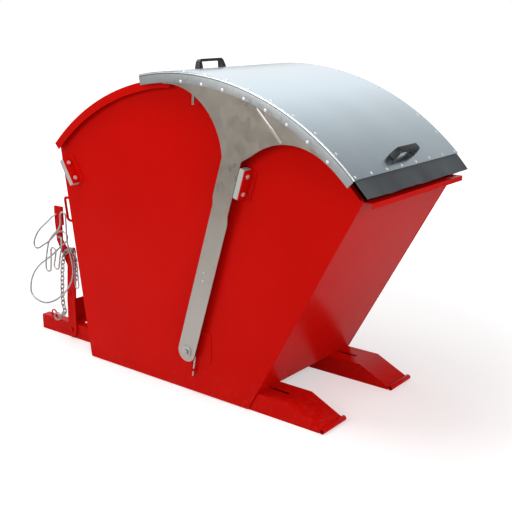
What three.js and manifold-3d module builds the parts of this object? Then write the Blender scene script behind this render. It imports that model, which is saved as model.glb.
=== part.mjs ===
// Self dumping hopper with a swinging round lid, a rope-pulled latch and two fork pockets.
// Millimetres, +Z up. +X is the dumping direction, the origin is on the floor at mid length and width.
// Lengths along X below are measured from the lid pivot, which stands forward of the origin.
import * as THREE from 'three';
import * as BufferGeometryUtils from 'three/addons/utils/BufferGeometryUtils.js';
import Module from 'manifold-3d';

const wasm = await Module();
wasm.setup();

// Fits
const seatGap = 0.3;
const runningGap = 0.5;
const cutOverrun = 5;
const pivotForward = 160;

// Tub
const tubWidth = 800;
const tubHalf = tubWidth / 2;
const tubPlate = 4;
const skirtLift = 3;
const frontFootX = 400;
const rearFootX = -753.4;
const frontLean = THREE.MathUtils.degToRad(28.94);
const rearLean = THREE.MathUtils.degToRad(8.08);
const plateCrown = 1276;
const roofCrown = 1299;
const roofOverhang = 30;
const roofHalfWidth = tubHalf + roofOverhang;
const roofSheet = 3;
const roofBandDepth = 40;
const roofRearAngle = THREE.MathUtils.degToRad(-44.3);
const roofFrontAngle = THREE.MathUtils.degToRad(-3.5);
const rimStart = 0.004;
const rimWidth = 29;
const rimSheet = 5;
const lipOverhang = 1;
const lipHalfWidth = tubHalf + lipOverhang;
const lipReach = 46;
const lipHeight = 24;
const lipSheet = 4;
const lipTopDrop = 2;

// Lid pivot, arms and covering
const pivotZ = 223;
const lidCrown = 1333;
const lidSheet = 2;
const lidOverhang = 54;
const lidHalfWidth = tubHalf + lidOverhang;
const lidRearAngle = THREE.MathUtils.degToRad(-10.8);
const lidFrontAngle = THREE.MathUtils.degToRad(44.6);
const edgeSheet = 2;
const edgeDepth = 50;
const edgeLedge = 26;
const fanPlate = 4;
const fanOuterY = lidHalfWidth - edgeSheet - seatGap;
const armStandoff = 38;
const armOuterY = tubHalf + armStandoff;
const armLean = THREE.MathUtils.degToRad(17.4);
const armHalfWidth = 53;
const scoopRadius = 323;
const scoopRimGap = 4;
const scoopBite = { rear: 21, front: 14 };
const frontScoopFrom = THREE.MathUtils.degToRad(127);
const joggleAt = { x: 205, z: 950 };
const joggleTurn = THREE.MathUtils.degToRad(45);
const joggleRun = 40;
const fanRib = { rearX: 444, rearZ: 1420, frontX: 575, frontZ: 1286, width: 13, thickness: 2 };
const lugWidth = 14;
const lugThickness = 6;
const lugTopDrop = 32;
const lugLength = 58;
const lugTipRadius = lidCrown - edgeDepth - lugTopDrop - lugLength;
const lugAngle = THREE.MathUtils.degToRad(3.8);
const pivotBossRadius = 26;
const pivotPlateThickness = 3;
const pivotPlateHalf = { x: 86, z: 84 };
const pivotPlateCentre = { x: 42, z: 252 };
const pivotPlateCorner = 28;
const pivotWasherRadius = 30;
const pivotWasherThickness = 4;
const pivotBoltHead = 19;
const pivotBoltHeadHeight = 13;
const pivotShank = 10;

// Rivets
const rivetHead = 7;
const rivetRise = 3.5;
const rivetSink = 0.5;
const rivetEdge = 24;
const flangeRivetRadius = 1290;
const frontRowSetback = 14;
const rivetPitches = 10;
const firstFlangeRivet = 2;
const rivetRearAngle = lidRearAngle + frontRowSetback / lidCrown;
const rivetFrontAngle = lidFrontAngle - frontRowSetback / lidCrown;
const rivetPitchAngle = (rivetFrontAngle - rivetRearAngle) / rivetPitches;
const rivetShoulderShare = 0.75;
const frontRowInset = 18;
const frontRowHalf = lidHalfWidth - frontRowInset;
const frontRowCount = 8;

// Lid handles
const handleLength = 208;
const handleTopLength = 172;
const handleRise = 48;
const handleWidth = 30;
const handleGrip = 13;
const handleFoot = 34;
const handleSeat = 0.4;
const frontHandleAngle = THREE.MathUtils.degToRad(41.9);
const rearHandleAngle = THREE.MathUtils.degToRad(-8.7);

// Rubber flap at the mouth
const flapInset = 6;
const flapHalfWidth = lidHalfWidth - flapInset;
const flapThickness = 4;
const flapAngle = THREE.MathUtils.degToRad(43.4);
const flapBack = 26;
const flapHang = 89.3;
const flapClear = 2;
const clampWidth = 30;
const clampThickness = 4;

// Lid stops
const bufferShy = 0.7;
const buffer = { thickness: 28, length: 142, depth: fanOuterY - tubHalf - bufferShy };
const stopLeg = 5;
const stopFlat = 34;
const frontStopReach = 855;
const frontStopFree = 28;
const armFrontReach = frontStopReach + buffer.length + frontStopFree;
const rearStopFoot = { x: -781, z: 946 };
const rearStopLean = THREE.MathUtils.degToRad(-30.9);
const stopBoltRadius = 8;
const stopBoltHeight = 7;
const stopBoltShares = [0.2, 0.8];

// Lid lock rod
const lockRodRadius = 5;
const lockRodFoot = { x: 16, z: 91 };
const lockRodTop = { x: 34, z: 196 };
const lockRodStandoff = 13;
const lockRodY = tubHalf + lockRodStandoff;
const lockClipWidth = 26;
const lockClipHeight = 10;
const lockClipZ = 123;
const lockClipWall = 3;
const lockClipClearance = 0.3;

// Bar staple on the rear wall
const stapleRadius = 7.5;
const stapleReach = 203;
const stapleTopZ = 822;
const stapleFootZ = 694;

// Fork pockets
const pocketInset = 8;
const pocketWidth = 182;
const pocketOuter = tubHalf - pocketInset;
const pocketInner = pocketOuter - pocketWidth;
const pocketHeight = 94;
const pocketWall = 4;
const pocketRearX = -745;
const pocketKinkX = 585;
const pocketTipX = 752;
const pocketTipZ = 16;
const tipTubeRadius = 13;
const tipTubeBore = 9;
const tipTubeOverhang = { inner: 1, outer: 2 };
const tipTubeInner = pocketInner - tipTubeOverhang.inner;
const tipTubeOuter = pocketOuter + tipTubeOverhang.outer;

// Base rails, cross members and tub hinge
const railWidth = 53.5;
const railOuter = pocketInner + pocketWall + runningGap + railWidth;
const rail = { outer: railOuter, width: railWidth, height: 85, wall: 4, rearX: -1318, frontX: 350 };
const stapleInset = 6;
const stapleY = rail.outer - stapleInset;
const crossBeam = { rearX: -1058, sheet: 6, height: 138, ledge: 48 };
const tieTube = { x: 100, size: 60, wall: 4, z: 12 };
const hingeX = 474;
const hingeZ = 50;
const hingePinRadius = 14;
const runningClearance = 0.09;
const clawThickness = 12;
const clawRadius = 27;
const clawBeside = 22;
const clawY = rail.outer + clawBeside;
const clawRootRearX = 250;
const clawRootFrontX = 388;
const clawHeel = { run: 50, z: 40 };
const slotClearance = 2;
const slotRearX = 244;
const slotFrontX = 514;
const eyeWire = 9;
const eyeRadius = 18;
const eyeRise = 33;
const eyeCornerShare = 0.9;
const eyeX = -1243;
const eyeInset = 28;
const eyeY = rail.outer - eyeInset;

// Latch lever
const latchX = -1042;
const latchZ = 55;
const latchPlate = 12;
const latchBoltRadius = 10;
const latchBoltHead = 17;
const latchBoltHeight = 8;
const leverFootRadius = 34;
const leverFootForward = 2;
const leverFootDrop = 17;
const leverFootShare = 0.04;
const leverFrontEdge = [[-1003, 60], [-1003, 236], [-985, 446], [-982, 527], [-990, 545], [-1004, 545], [-1012, 520],
  [-1040, 516], [-1085, 575], [-1085, 664]];
const leverRearEdge = [[-1136, 664], [-1129, 568], [-1050, 434], [-1069, 222], [-1071, 60]];
const leverTopZ = 664;
const leverHead = { rearX: -1128, frontX: -1061, nearSide: 9, farSide: -6, high: 770 };

// Chain
const chainWire = 7.5;
const chainInnerLength = 24;
const chainInnerWidth = 13.5;
const chainBearing = 0.5;
const chainBeside = 28;
const chainPlaneY = -rail.outer - chainBeside;
const chainPegRadius = 4.2;
const pegGap = 0.5;
const pegOverhang = 8;
const pegLip = 4;
const chainSides = 6;
const chainArcSteps = 4;
const chainApex = { x: -994, z: 538 };
const rearStrand = [
  [-1034, 522], [-1058, 488], [-1072, 430], [-1080, 370], [-1085, 315], [-1089, 250], [-1086, 195], [-1076, 164],
  [-1080, 143], [-1102, 134], [-1122, 124], [-1132, 106], [-1134, 40],
];
const frontStrand = [[-967, 512], [-959, 470], [-957, 427], [-957, 385], [-956, 300]];
const rearStrandLinks = 19;
const frontStrandLinks = 7;
const hookLink = { wire: 9, innerLength: 48, innerWidth: 30 };
const endLink = { wire: 7, innerLength: 46, innerWidth: 22 };

// Rope
const ropeDiameter = 10;
const ropeSides = 8;
const ropeSteps = 214;
const ropeRoute = [
  [-1105, -290.2, 722], [-1105, -293.6, 722], [-1107.1, -301.2, 720.4], [-1113, -307.5, 716],
  [-1122, -310.5, 709], [-1146, -311, 689], [-1183, -311, 662], [-1226, -311, 630],
  [-1266, -311, 589], [-1290, -311, 550], [-1295, -311, 525.5], [-1292.9, -311, 516.4],
  [-1287, -311, 509.2], [-1278.5, -311, 505.4], [-1269.2, -311, 505.7], [-1247, -311, 513],
  [-1210, -311, 535], [-1169, -311, 558], [-1126, -312, 590], [-1086, -315, 621],
  [-1050, -317, 639], [-1022, -317, 640], [-1003, -317, 634], [-991.5, -317, 618],
  [-995, -317, 598], [-1012, -317, 580], [-1040, -317, 559], [-1086, -317, 524],
  [-1152, -317, 475], [-1247, -317, 412], [-1304, -317, 356], [-1340, -317, 288],
  [-1345, -317, 230], [-1320, -317, 202], [-1275, -317, 188], [-1224, -317, 187],
  [-1160, -317, 206], [-1085, -317, 248], [-1019, -318, 305], [-971, -319, 371],
  [-955, -320, 433], [-963, -321, 495], [-975, -326, 551], [-981, -328.5, 601],
  [-980, -330.5, 653], [-978.5, -332, 705], [-977.5, -332.5, 737], [-980.2, -333, 747.2],
  [-987.8, -333.5, 754.8], [-998, -334, 757.5], [-1008.2, -334.5, 754.8], [-1015.8, -335, 747.2],
  [-1018.5, -335.5, 737], [-1019, -336, 700], [-1031, -338, 664], [-1058, -341, 638],
  [-1089, -343, 611], [-1116, -345, 576], [-1137, -345, 522], [-1151, -345, 467],
  [-1156, -345, 420], [-1153.3, -345, 409.8], [-1145.8, -345, 402.2], [-1135.5, -345, 399.5],
  [-1125.2, -345, 402.2], [-1117.7, -345, 409.8], [-1115, -345, 420], [-1108, -345, 476],
  [-1103.5, -345.5, 525], [-1100.8, -345.6, 535.2], [-1093.2, -345.7, 542.8], [-1083, -345.8, 545.5],
  [-1072.8, -345.8, 542.8], [-1065.2, -345.9, 535.2], [-1062.5, -346, 525], [-1070, -347, 483],
  [-1080.5, -347, 446], [-1077.8, -347, 435.8], [-1070.2, -347, 428.2], [-1060, -347, 425.5],
  [-1049.8, -347, 428.2], [-1042.2, -347, 435.8], [-1039.5, -347, 446], [-1027, -347, 501],
  [-1012, -346, 551], [-1013, -341, 586], [-1027, -331, 606], [-1052, -318.5, 604],
  [-1084, -305.8, 598.7], [-1093.5, -298.4, 597.5], [-1097, -287, 597], [-1097, -281.1, 597],
];

const red = new THREE.MeshStandardMaterial({ color: 0xc4140f, roughness: 0.4, metalness: 0 });
const zinc = new THREE.MeshStandardMaterial({ color: 0xaab4b8, roughness: 0.35, metalness: 0.9 });
const rubber = new THREE.MeshStandardMaterial({ color: 0x3c4146, roughness: 0.8, metalness: 0 });
const blackPlastic = new THREE.MeshStandardMaterial({ color: 0x1b1e20, roughness: 0.5, metalness: 0 });
const brightSteel = new THREE.MeshStandardMaterial({ color: 0xc8c8c4, roughness: 0.3, metalness: 0.95 });
const bufferGrey = new THREE.MeshStandardMaterial({ color: 0xb4b6b2, roughness: 0.6, metalness: 0 });

const hopper = new THREE.Group();

// Adds one named piece to the hopper
function piece(name, geometry, material) {
  const mesh = new THREE.Mesh(geometry, material);
  mesh.name = name;
  mesh.position.x = pivotForward;
  hopper.add(mesh);
  return mesh;
}

// Closed solid with shared corners, ready for cutting and joining
function toSolid(geometry) {
  const bare = geometry.index ? geometry.toNonIndexed() : geometry.clone();
  bare.deleteAttribute('normal');
  bare.deleteAttribute('uv');
  const merged = BufferGeometryUtils.mergeVertices(bare, 1e-4);
  return new wasm.Manifold(new wasm.Mesh({
    numProp: 3,
    vertProperties: new Float32Array(merged.attributes.position.array),
    triVerts: new Uint32Array(merged.index.array),
  }));
}

function toGeometry(solid) {
  const mesh = solid.getMesh();
  const geometry = new THREE.BufferGeometry();
  geometry.setAttribute('position', new THREE.BufferAttribute(new Float32Array(mesh.vertProperties), 3));
  geometry.setIndex(new THREE.BufferAttribute(new Uint32Array(mesh.triVerts), 1));
  return geometry;
}

function join(...geometries) {
  return toGeometry(geometries.map(toSolid).reduce((whole, next) => whole.add(next)));
}

function cut(geometry, ...tools) {
  return toGeometry(tools.map(toSolid).reduce((whole, tool) => whole.subtract(tool), toSolid(geometry)));
}

function overlap(first, second) {
  return toGeometry(toSolid(first).intersect(toSolid(second)));
}

function mirrorY(geometry) {
  const flipped = geometry.index ? geometry.toNonIndexed() : geometry.clone();
  flipped.deleteAttribute('normal');
  flipped.deleteAttribute('uv');
  flipped.scale(1, -1, 1);
  const places = flipped.attributes.position;
  for (let first = 0; first < places.count; first += 3) {
    const a = new THREE.Vector3().fromBufferAttribute(places, first + 1);
    const b = new THREE.Vector3().fromBufferAttribute(places, first + 2);
    places.setXYZ(first + 1, b.x, b.y, b.z);
    places.setXYZ(first + 2, a.x, a.y, a.z);
  }
  return flipped;
}

function box(x0, x1, y0, y1, z0, z1) {
  const geometry = new THREE.BoxGeometry(x1 - x0, y1 - y0, z1 - z0);
  return geometry.translate((x0 + x1) / 2, (y0 + y1) / 2, (z0 + z1) / 2);
}

// Outline in X and Z, given as [x, z] points, thickened from y0 to y1
function plate(points, y0, y1, holes = []) {
  const shape = new THREE.Shape(points.map(([x, z]) => new THREE.Vector2(x, z)));
  shape.holes = holes.map((hole) => new THREE.Path(hole.map(([x, z]) => new THREE.Vector2(x, z))));
  const geometry = new THREE.ExtrudeGeometry(shape, { depth: y1 - y0, bevelEnabled: false });
  return geometry.rotateX(Math.PI / 2).translate(0, y1, 0);
}

function circlePoints(x, z, radius, from, to, steps) {
  const points = [];
  for (let step = 0; step <= steps; step += 1) {
    const turn = from + ((to - from) * step) / steps;
    points.push([x + radius * Math.cos(turn), z + radius * Math.sin(turn)]);
  }
  return points;
}

function hole(x, z, radius, steps = 24) {
  return circlePoints(x, z, radius, 0, 2 * Math.PI, steps).slice(0, -1);
}

// Point of the lid's round, at an angle forward of straight up from the pivot
function onRound(angle, radius) {
  return [radius * Math.sin(angle), pivotZ + radius * Math.cos(angle)];
}

function roundPoints(radius, from, to, steps) {
  const points = [];
  for (let step = 0; step <= steps; step += 1) {
    points.push(onRound(from + ((to - from) * step) / steps, radius));
  }
  return points;
}

function roundBand(innerRadius, outerRadius, from, to, steps, y0, y1) {
  const inner = roundPoints(innerRadius, from, to, steps);
  const outer = roundPoints(outerRadius, to, from, steps);
  return plate([...inner, ...outer], y0, y1);
}

// Round bar along Y
function barY(x, z, radius, y0, y1, sides = 20) {
  return new THREE.CylinderGeometry(radius, radius, y1 - y0, sides).translate(x, (y0 + y1) / 2, z);
}

// Round tube along a list of points, closed at both ends or into a ring
function wire(points, diameter, sides, steps, closed = false, tension = 0.5) {
  const route = new THREE.CatmullRomCurve3(points, closed, 'centripetal', tension);
  return bar(route, diameter, sides, steps);
}

function bar(route, diameter, sides, steps) {
  const section = new THREE.Shape();
  for (let side = 0; side < sides; side += 1) {
    const turn = (2 * Math.PI * side) / sides;
    const corner = [(Math.cos(turn) * diameter) / 2, (Math.sin(turn) * diameter) / 2];
    if (side === 0) section.moveTo(...corner);
    else section.lineTo(...corner);
  }
  section.closePath();
  return new THREE.ExtrudeGeometry(section, { steps, bevelEnabled: false, extrudePath: route });
}

// Where a line through a point, leaning forward of upright, meets a circle; the higher or lower crossing
function lineMeetsCircle(point, lean, centre, radius, higher) {
  const dx = Math.sin(lean);
  const dz = Math.cos(lean);
  const fx = point.x - centre.x;
  const fz = point.z - centre.z;
  const b = fx * dx + fz * dz;
  const root = Math.sqrt(b * b - (fx * fx + fz * fz - radius * radius));
  const reach = higher ? root - b : -root - b;
  return { x: point.x + reach * dx, z: point.z + reach * dz };
}

const pivot = { x: 0, z: pivotZ };
const tubInner = tubHalf - tubPlate;
const tubFloorZ = pocketHeight + seatGap;
const frontAcross = tubPlate / Math.cos(frontLean);
const rearAcross = tubPlate / Math.cos(rearLean);

function frontFaceX(z) {
  return frontFootX + (z - tubFloorZ) * Math.tan(frontLean);
}

function rearFaceX(z) {
  return rearFootX - (z - tubFloorZ) * Math.tan(rearLean);
}

const frontCorner = lineMeetsCircle({ x: frontFootX, z: tubFloorZ }, frontLean, pivot, plateCrown, true);
const rearCorner = lineMeetsCircle({ x: rearFootX, z: tubFloorZ }, -rearLean, pivot,
  roofCrown - roofSheet - seatGap, true);
const roofSeat = roofCrown - roofSheet - seatGap;
const frontCornerAngle = Math.atan2(frontCorner.x, frontCorner.z - pivotZ);
const rearCornerAngle = Math.atan2(rearCorner.x, rearCorner.z - pivotZ);

// Middle of a scoop beside the arm; it bites into the arm's edge and nears the lid's edge
function scoopCentre(side, bite) {
  const reach = lidCrown - edgeDepth - scoopRimGap - scoopRadius;
  const turn = armLean + side * Math.asin((armHalfWidth + scoopRadius - bite) / reach);
  return { x: reach * Math.sin(turn), z: pivotZ + reach * Math.cos(turn) };
}

const rearScoop = scoopCentre(-1, scoopBite.rear);
const frontScoop = scoopCentre(1, scoopBite.front);

function makeTub() {
  const side = plate([
    [rearFaceX(skirtLift), skirtLift],
    [frontFaceX(skirtLift), skirtLift],
    ...roundPoints(plateCrown, frontCornerAngle, roofFrontAngle, 24),
    ...roundPoints(roofSeat, roofFrontAngle, rearCornerAngle, 24),
  ], -tubHalf, -tubInner);
  piece('side_plate_near', side, red);
  piece('side_plate_far', mirrorY(side), red);

  const wallHalf = tubInner - seatGap;
  const lipZ = frontCorner.z - lipTopDrop;
  piece('front_wall', plate([
    [frontFaceX(tubFloorZ) - frontAcross, tubFloorZ],
    [frontFaceX(tubFloorZ), tubFloorZ],
    [frontFaceX(lipZ), lipZ],
    [frontFaceX(lipZ) - frontAcross, lipZ],
  ], -wallHalf, wallHalf), red);

  const floorTop = tubFloorZ + tubPlate;
  piece('tub_floor', plate([
    [rearFaceX(tubFloorZ) + rearAcross + seatGap, tubFloorZ],
    [frontFaceX(tubFloorZ) - frontAcross - seatGap, tubFloorZ],
    [frontFaceX(floorTop) - frontAcross - seatGap, floorTop],
    [rearFaceX(floorTop) + rearAcross + seatGap, floorTop],
  ], -wallHalf, wallHalf), red);

  const rearTopZ = rearCorner.z - seatGap;
  piece('rear_wall', plate([
    [rearFaceX(tubFloorZ), tubFloorZ],
    [rearFaceX(tubFloorZ) + rearAcross, tubFloorZ],
    [rearFaceX(rearTopZ) + rearAcross, rearTopZ],
    [rearFaceX(rearTopZ), rearTopZ],
  ], -wallHalf, wallHalf), red);
}

// Fixed roof over the rear half, folded down outside both side plates
function makeRoof() {
  const steps = 26;
  const top = roundBand(roofCrown - roofSheet, roofCrown, roofRearAngle, roofFrontAngle, steps,
    -roofHalfWidth, roofHalfWidth);
  const band = roundBand(roofCrown - roofBandDepth, roofCrown, roofRearAngle, roofFrontAngle, steps,
    -roofHalfWidth, -roofHalfWidth + roofSheet);
  piece('roof_sheet', join(top, band, mirrorY(band)), red);
}

// Flat strips along the tub's round opening, under the lid
function makeRim() {
  const from = roofFrontAngle + rimStart;
  const underside = plateCrown + seatGap;
  const outerY = tubInner + rimWidth;
  const rimEnd = frontCornerAngle - lipTopDrop / plateCrown;
  const rim = roundBand(underside, underside + rimSheet, from, rimEnd, 26, -outerY, -tubInner);
  piece('rim_strip_near', rim, red);
  piece('rim_strip_far', mirrorY(rim), red);
}

// Folded lip across the mouth, standing forward of the front wall and past both sides
function makeLip() {
  const topZ = frontCorner.z - lipTopDrop;
  const footZ = topZ - lipHeight;
  const rearX = frontFaceX(topZ) + seatGap;
  const frontX = rearX + lipReach;
  piece('mouth_lip', plate([
    [frontFaceX(topZ - lipSheet) + seatGap, topZ - lipSheet],
    [frontX - lipSheet, topZ - lipSheet],
    [frontX - lipSheet, footZ],
    [frontX, footZ],
    [frontX, topZ],
    [rearX, topZ],
  ], -lipHalfWidth, lipHalfWidth), red);
}

// Straight runs joined by rounded corners
function roundedRoute(places, corner) {
  const route = new THREE.CurvePath();
  let last = places[0];
  for (let index = 1; index < places.length - 1; index += 1) {
    const here = places[index];
    const before = here.clone().lerp(places[index - 1], corner / here.distanceTo(places[index - 1]));
    const after = here.clone().lerp(places[index + 1], corner / here.distanceTo(places[index + 1]));
    route.add(new THREE.LineCurve3(last, before));
    route.add(new THREE.QuadraticBezierCurve3(before, here, after));
    last = after;
  }
  route.add(new THREE.LineCurve3(last, places[places.length - 1]));
  return route;
}

// Long bar staple that stands out from the rear wall towards the lever's head
function makeStaple() {
  const reach = (z) => rearFaceX(z) - stapleReach;
  const seat = (z) => rearFaceX(z) - seatGap - stapleRadius * Math.tan(rearLean);
  const places = [
    [seat(stapleTopZ), stapleTopZ],
    [reach(stapleTopZ), stapleTopZ],
    [reach(stapleFootZ), stapleFootZ],
    [seat(stapleFootZ), stapleFootZ],
  ].map(([x, z]) => new THREE.Vector3(x, -stapleY, z));
  piece('rear_staple', bar(roundedRoute(places, stapleRadius * 2), stapleRadius * 2, 10, 44), red);
}

// Pivot plates, bosses and bolts that carry the lid's arms
function makePivots() {
  const faceY = tubHalf + seatGap;
  const platePoints = [];
  [[1, -1], [1, 1], [-1, 1], [-1, -1]].forEach(([sideX, sideZ], index) => {
    const x = pivotPlateCentre.x + sideX * (pivotPlateHalf.x - pivotPlateCorner);
    const z = pivotPlateCentre.z + sideZ * (pivotPlateHalf.z - pivotPlateCorner);
    const from = (index - 1) * (Math.PI / 2);
    platePoints.push(...circlePoints(x, z, pivotPlateCorner, from, from + Math.PI / 2, 5));
  });
  const bossFoot = faceY + pivotPlateThickness + seatGap;
  const bossTop = armOuterY - fanPlate - runningGap;
  const washerFoot = armOuterY + runningGap;
  const headFoot = washerFoot + pivotWasherThickness;
  const pivotPlate = plate(platePoints, -faceY - pivotPlateThickness, -faceY);
  const boss = barY(0, pivotZ, pivotBossRadius, -bossTop, -bossFoot, 24);
  const shank = barY(0, pivotZ, pivotShank, -headFoot - cutOverrun, -bossTop - seatGap, 48);
  const head = barY(0, pivotZ, pivotBoltHead, -headFoot - pivotBoltHeadHeight, -headFoot, 6);
  const washer = barY(0, pivotZ, pivotWasherRadius, -headFoot, -washerFoot, 28);
  const bolt = join(shank, head, washer);
  piece('pivot_plate_near', pivotPlate, red);
  piece('pivot_plate_far', mirrorY(pivotPlate), red);
  piece('pivot_boss_near', boss, zinc);
  piece('pivot_boss_far', mirrorY(boss), zinc);
  piece('pivot_bolt_near', bolt, brightSteel);
  piece('pivot_bolt_far', mirrorY(bolt), brightSteel);
}

// Point at a distance across and along a leaning line
function leaning(foot, lean, across, along) {
  return [
    foot.x + across * Math.cos(lean) + along * Math.sin(lean),
    foot.z - across * Math.sin(lean) + along * Math.cos(lean),
  ];
}

function leaningBlock(foot, lean, across0, across1, along0, along1, y0, y1) {
  return plate([
    leaning(foot, lean, across0, along0),
    leaning(foot, lean, across1, along0),
    leaning(foot, lean, across1, along1),
    leaning(foot, lean, across0, along1),
  ], y0, y1);
}

// Buffers on angle brackets that the arms and the lugs come to rest on
function makeStops() {
  const faceY = tubHalf + seatGap;
  const outerY = faceY + buffer.depth;
  const frontAt = leaning(pivot, armLean, armHalfWidth + runningGap, frontStopReach);
  const places = {
    front: { foot: { x: frontAt[0], z: frontAt[1] }, lean: armLean },
    rear: { foot: rearStopFoot, lean: rearStopLean },
  };
  Object.entries(places).forEach(([name, { foot, lean }]) => {
    const legAt = buffer.thickness + seatGap;
    const pad = leaningBlock(foot, lean, 0, buffer.thickness, 0, buffer.length, -outerY, -faceY);
    const leg = leaningBlock(foot, lean, legAt, legAt + stopLeg, 0, buffer.length, -outerY, -faceY);
    const flat = leaningBlock(foot, lean, legAt, legAt + stopFlat, 0, buffer.length, -faceY - stopLeg, -faceY);
    const heads = stopBoltShares.map((share) => {
      const along = share * buffer.length;
      const head = new THREE.CylinderGeometry(stopBoltRadius, stopBoltRadius, stopBoltHeight + stopLeg, 6);
      head.rotateZ(Math.PI / 2).rotateY(lean);
      const [x, z] = leaning(foot, lean, legAt + seatGap + (stopBoltHeight + stopLeg) / 2, along);
      return head.translate(x, -faceY - stopLeg - (buffer.depth - stopLeg) / 2, z);
    });
    const angle = join(leg, flat, ...heads);
    piece(`${name}_stop_angle_near`, angle, red);
    piece(`${name}_stop_angle_far`, mirrorY(angle), red);
    piece(`${name}_stop_buffer_near`, pad, bufferGrey);
    piece(`${name}_stop_buffer_far`, mirrorY(pad), bufferGrey);
  });
}

// Leaning rod beside the near pivot, held by a clip, that slides up behind the arm
function makeLockRod() {
  const lean = Math.atan2(lockRodTop.x - lockRodFoot.x, lockRodTop.z - lockRodFoot.z);
  const length = Math.hypot(lockRodTop.x - lockRodFoot.x, lockRodTop.z - lockRodFoot.z);
  const rod = new THREE.CylinderGeometry(lockRodRadius, lockRodRadius, length, 16);
  rod.rotateX(Math.PI / 2).rotateY(lean);
  rod.translate((lockRodFoot.x + lockRodTop.x) / 2, -lockRodY, (lockRodFoot.z + lockRodTop.z) / 2);
  piece('lock_rod', rod, brightSteel);

  const faceY = tubHalf + seatGap;
  const share = (lockClipZ - lockRodFoot.z) / (lockRodTop.z - lockRodFoot.z);
  const at = { x: lockRodFoot.x + share * (lockRodTop.x - lockRodFoot.x), z: lockClipZ };
  const half = lockClipWidth / 2;
  const outerY = lockRodY + lockRodRadius + lockClipClearance + lockClipWall;
  const body = leaningBlock(at, lean, -half, half, -lockClipHeight / 2, lockClipHeight / 2, -outerY, -faceY);
  const bore = new THREE.CylinderGeometry(lockRodRadius + lockClipClearance, lockRodRadius + lockClipClearance,
    length, 24);
  bore.rotateX(Math.PI / 2).rotateY(lean).translate(at.x, -lockRodY, at.z);
  piece('lock_rod_clip', cut(body, bore), red);
}

// Plates under the tub that turn on the pins inside the pockets
function makeClaws() {
  const eye = circlePoints(hingeX, hingeZ, clawRadius, -Math.PI / 2, Math.PI / 2, 14);
  const outline = [
    [clawRootRearX, pocketHeight],
    [clawRootRearX + clawHeel.run, clawHeel.z],
    ...eye,
    [clawRootFrontX, pocketHeight],
  ];
  const claw = plate(outline, -clawY - clawThickness, -clawY,
    [hole(hingeX, hingeZ, hingePinRadius + runningClearance, 48)]);
  piece('tub_hinge_claw_near', claw, red);
  piece('tub_hinge_claw_far', mirrorY(claw), red);
}

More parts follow.
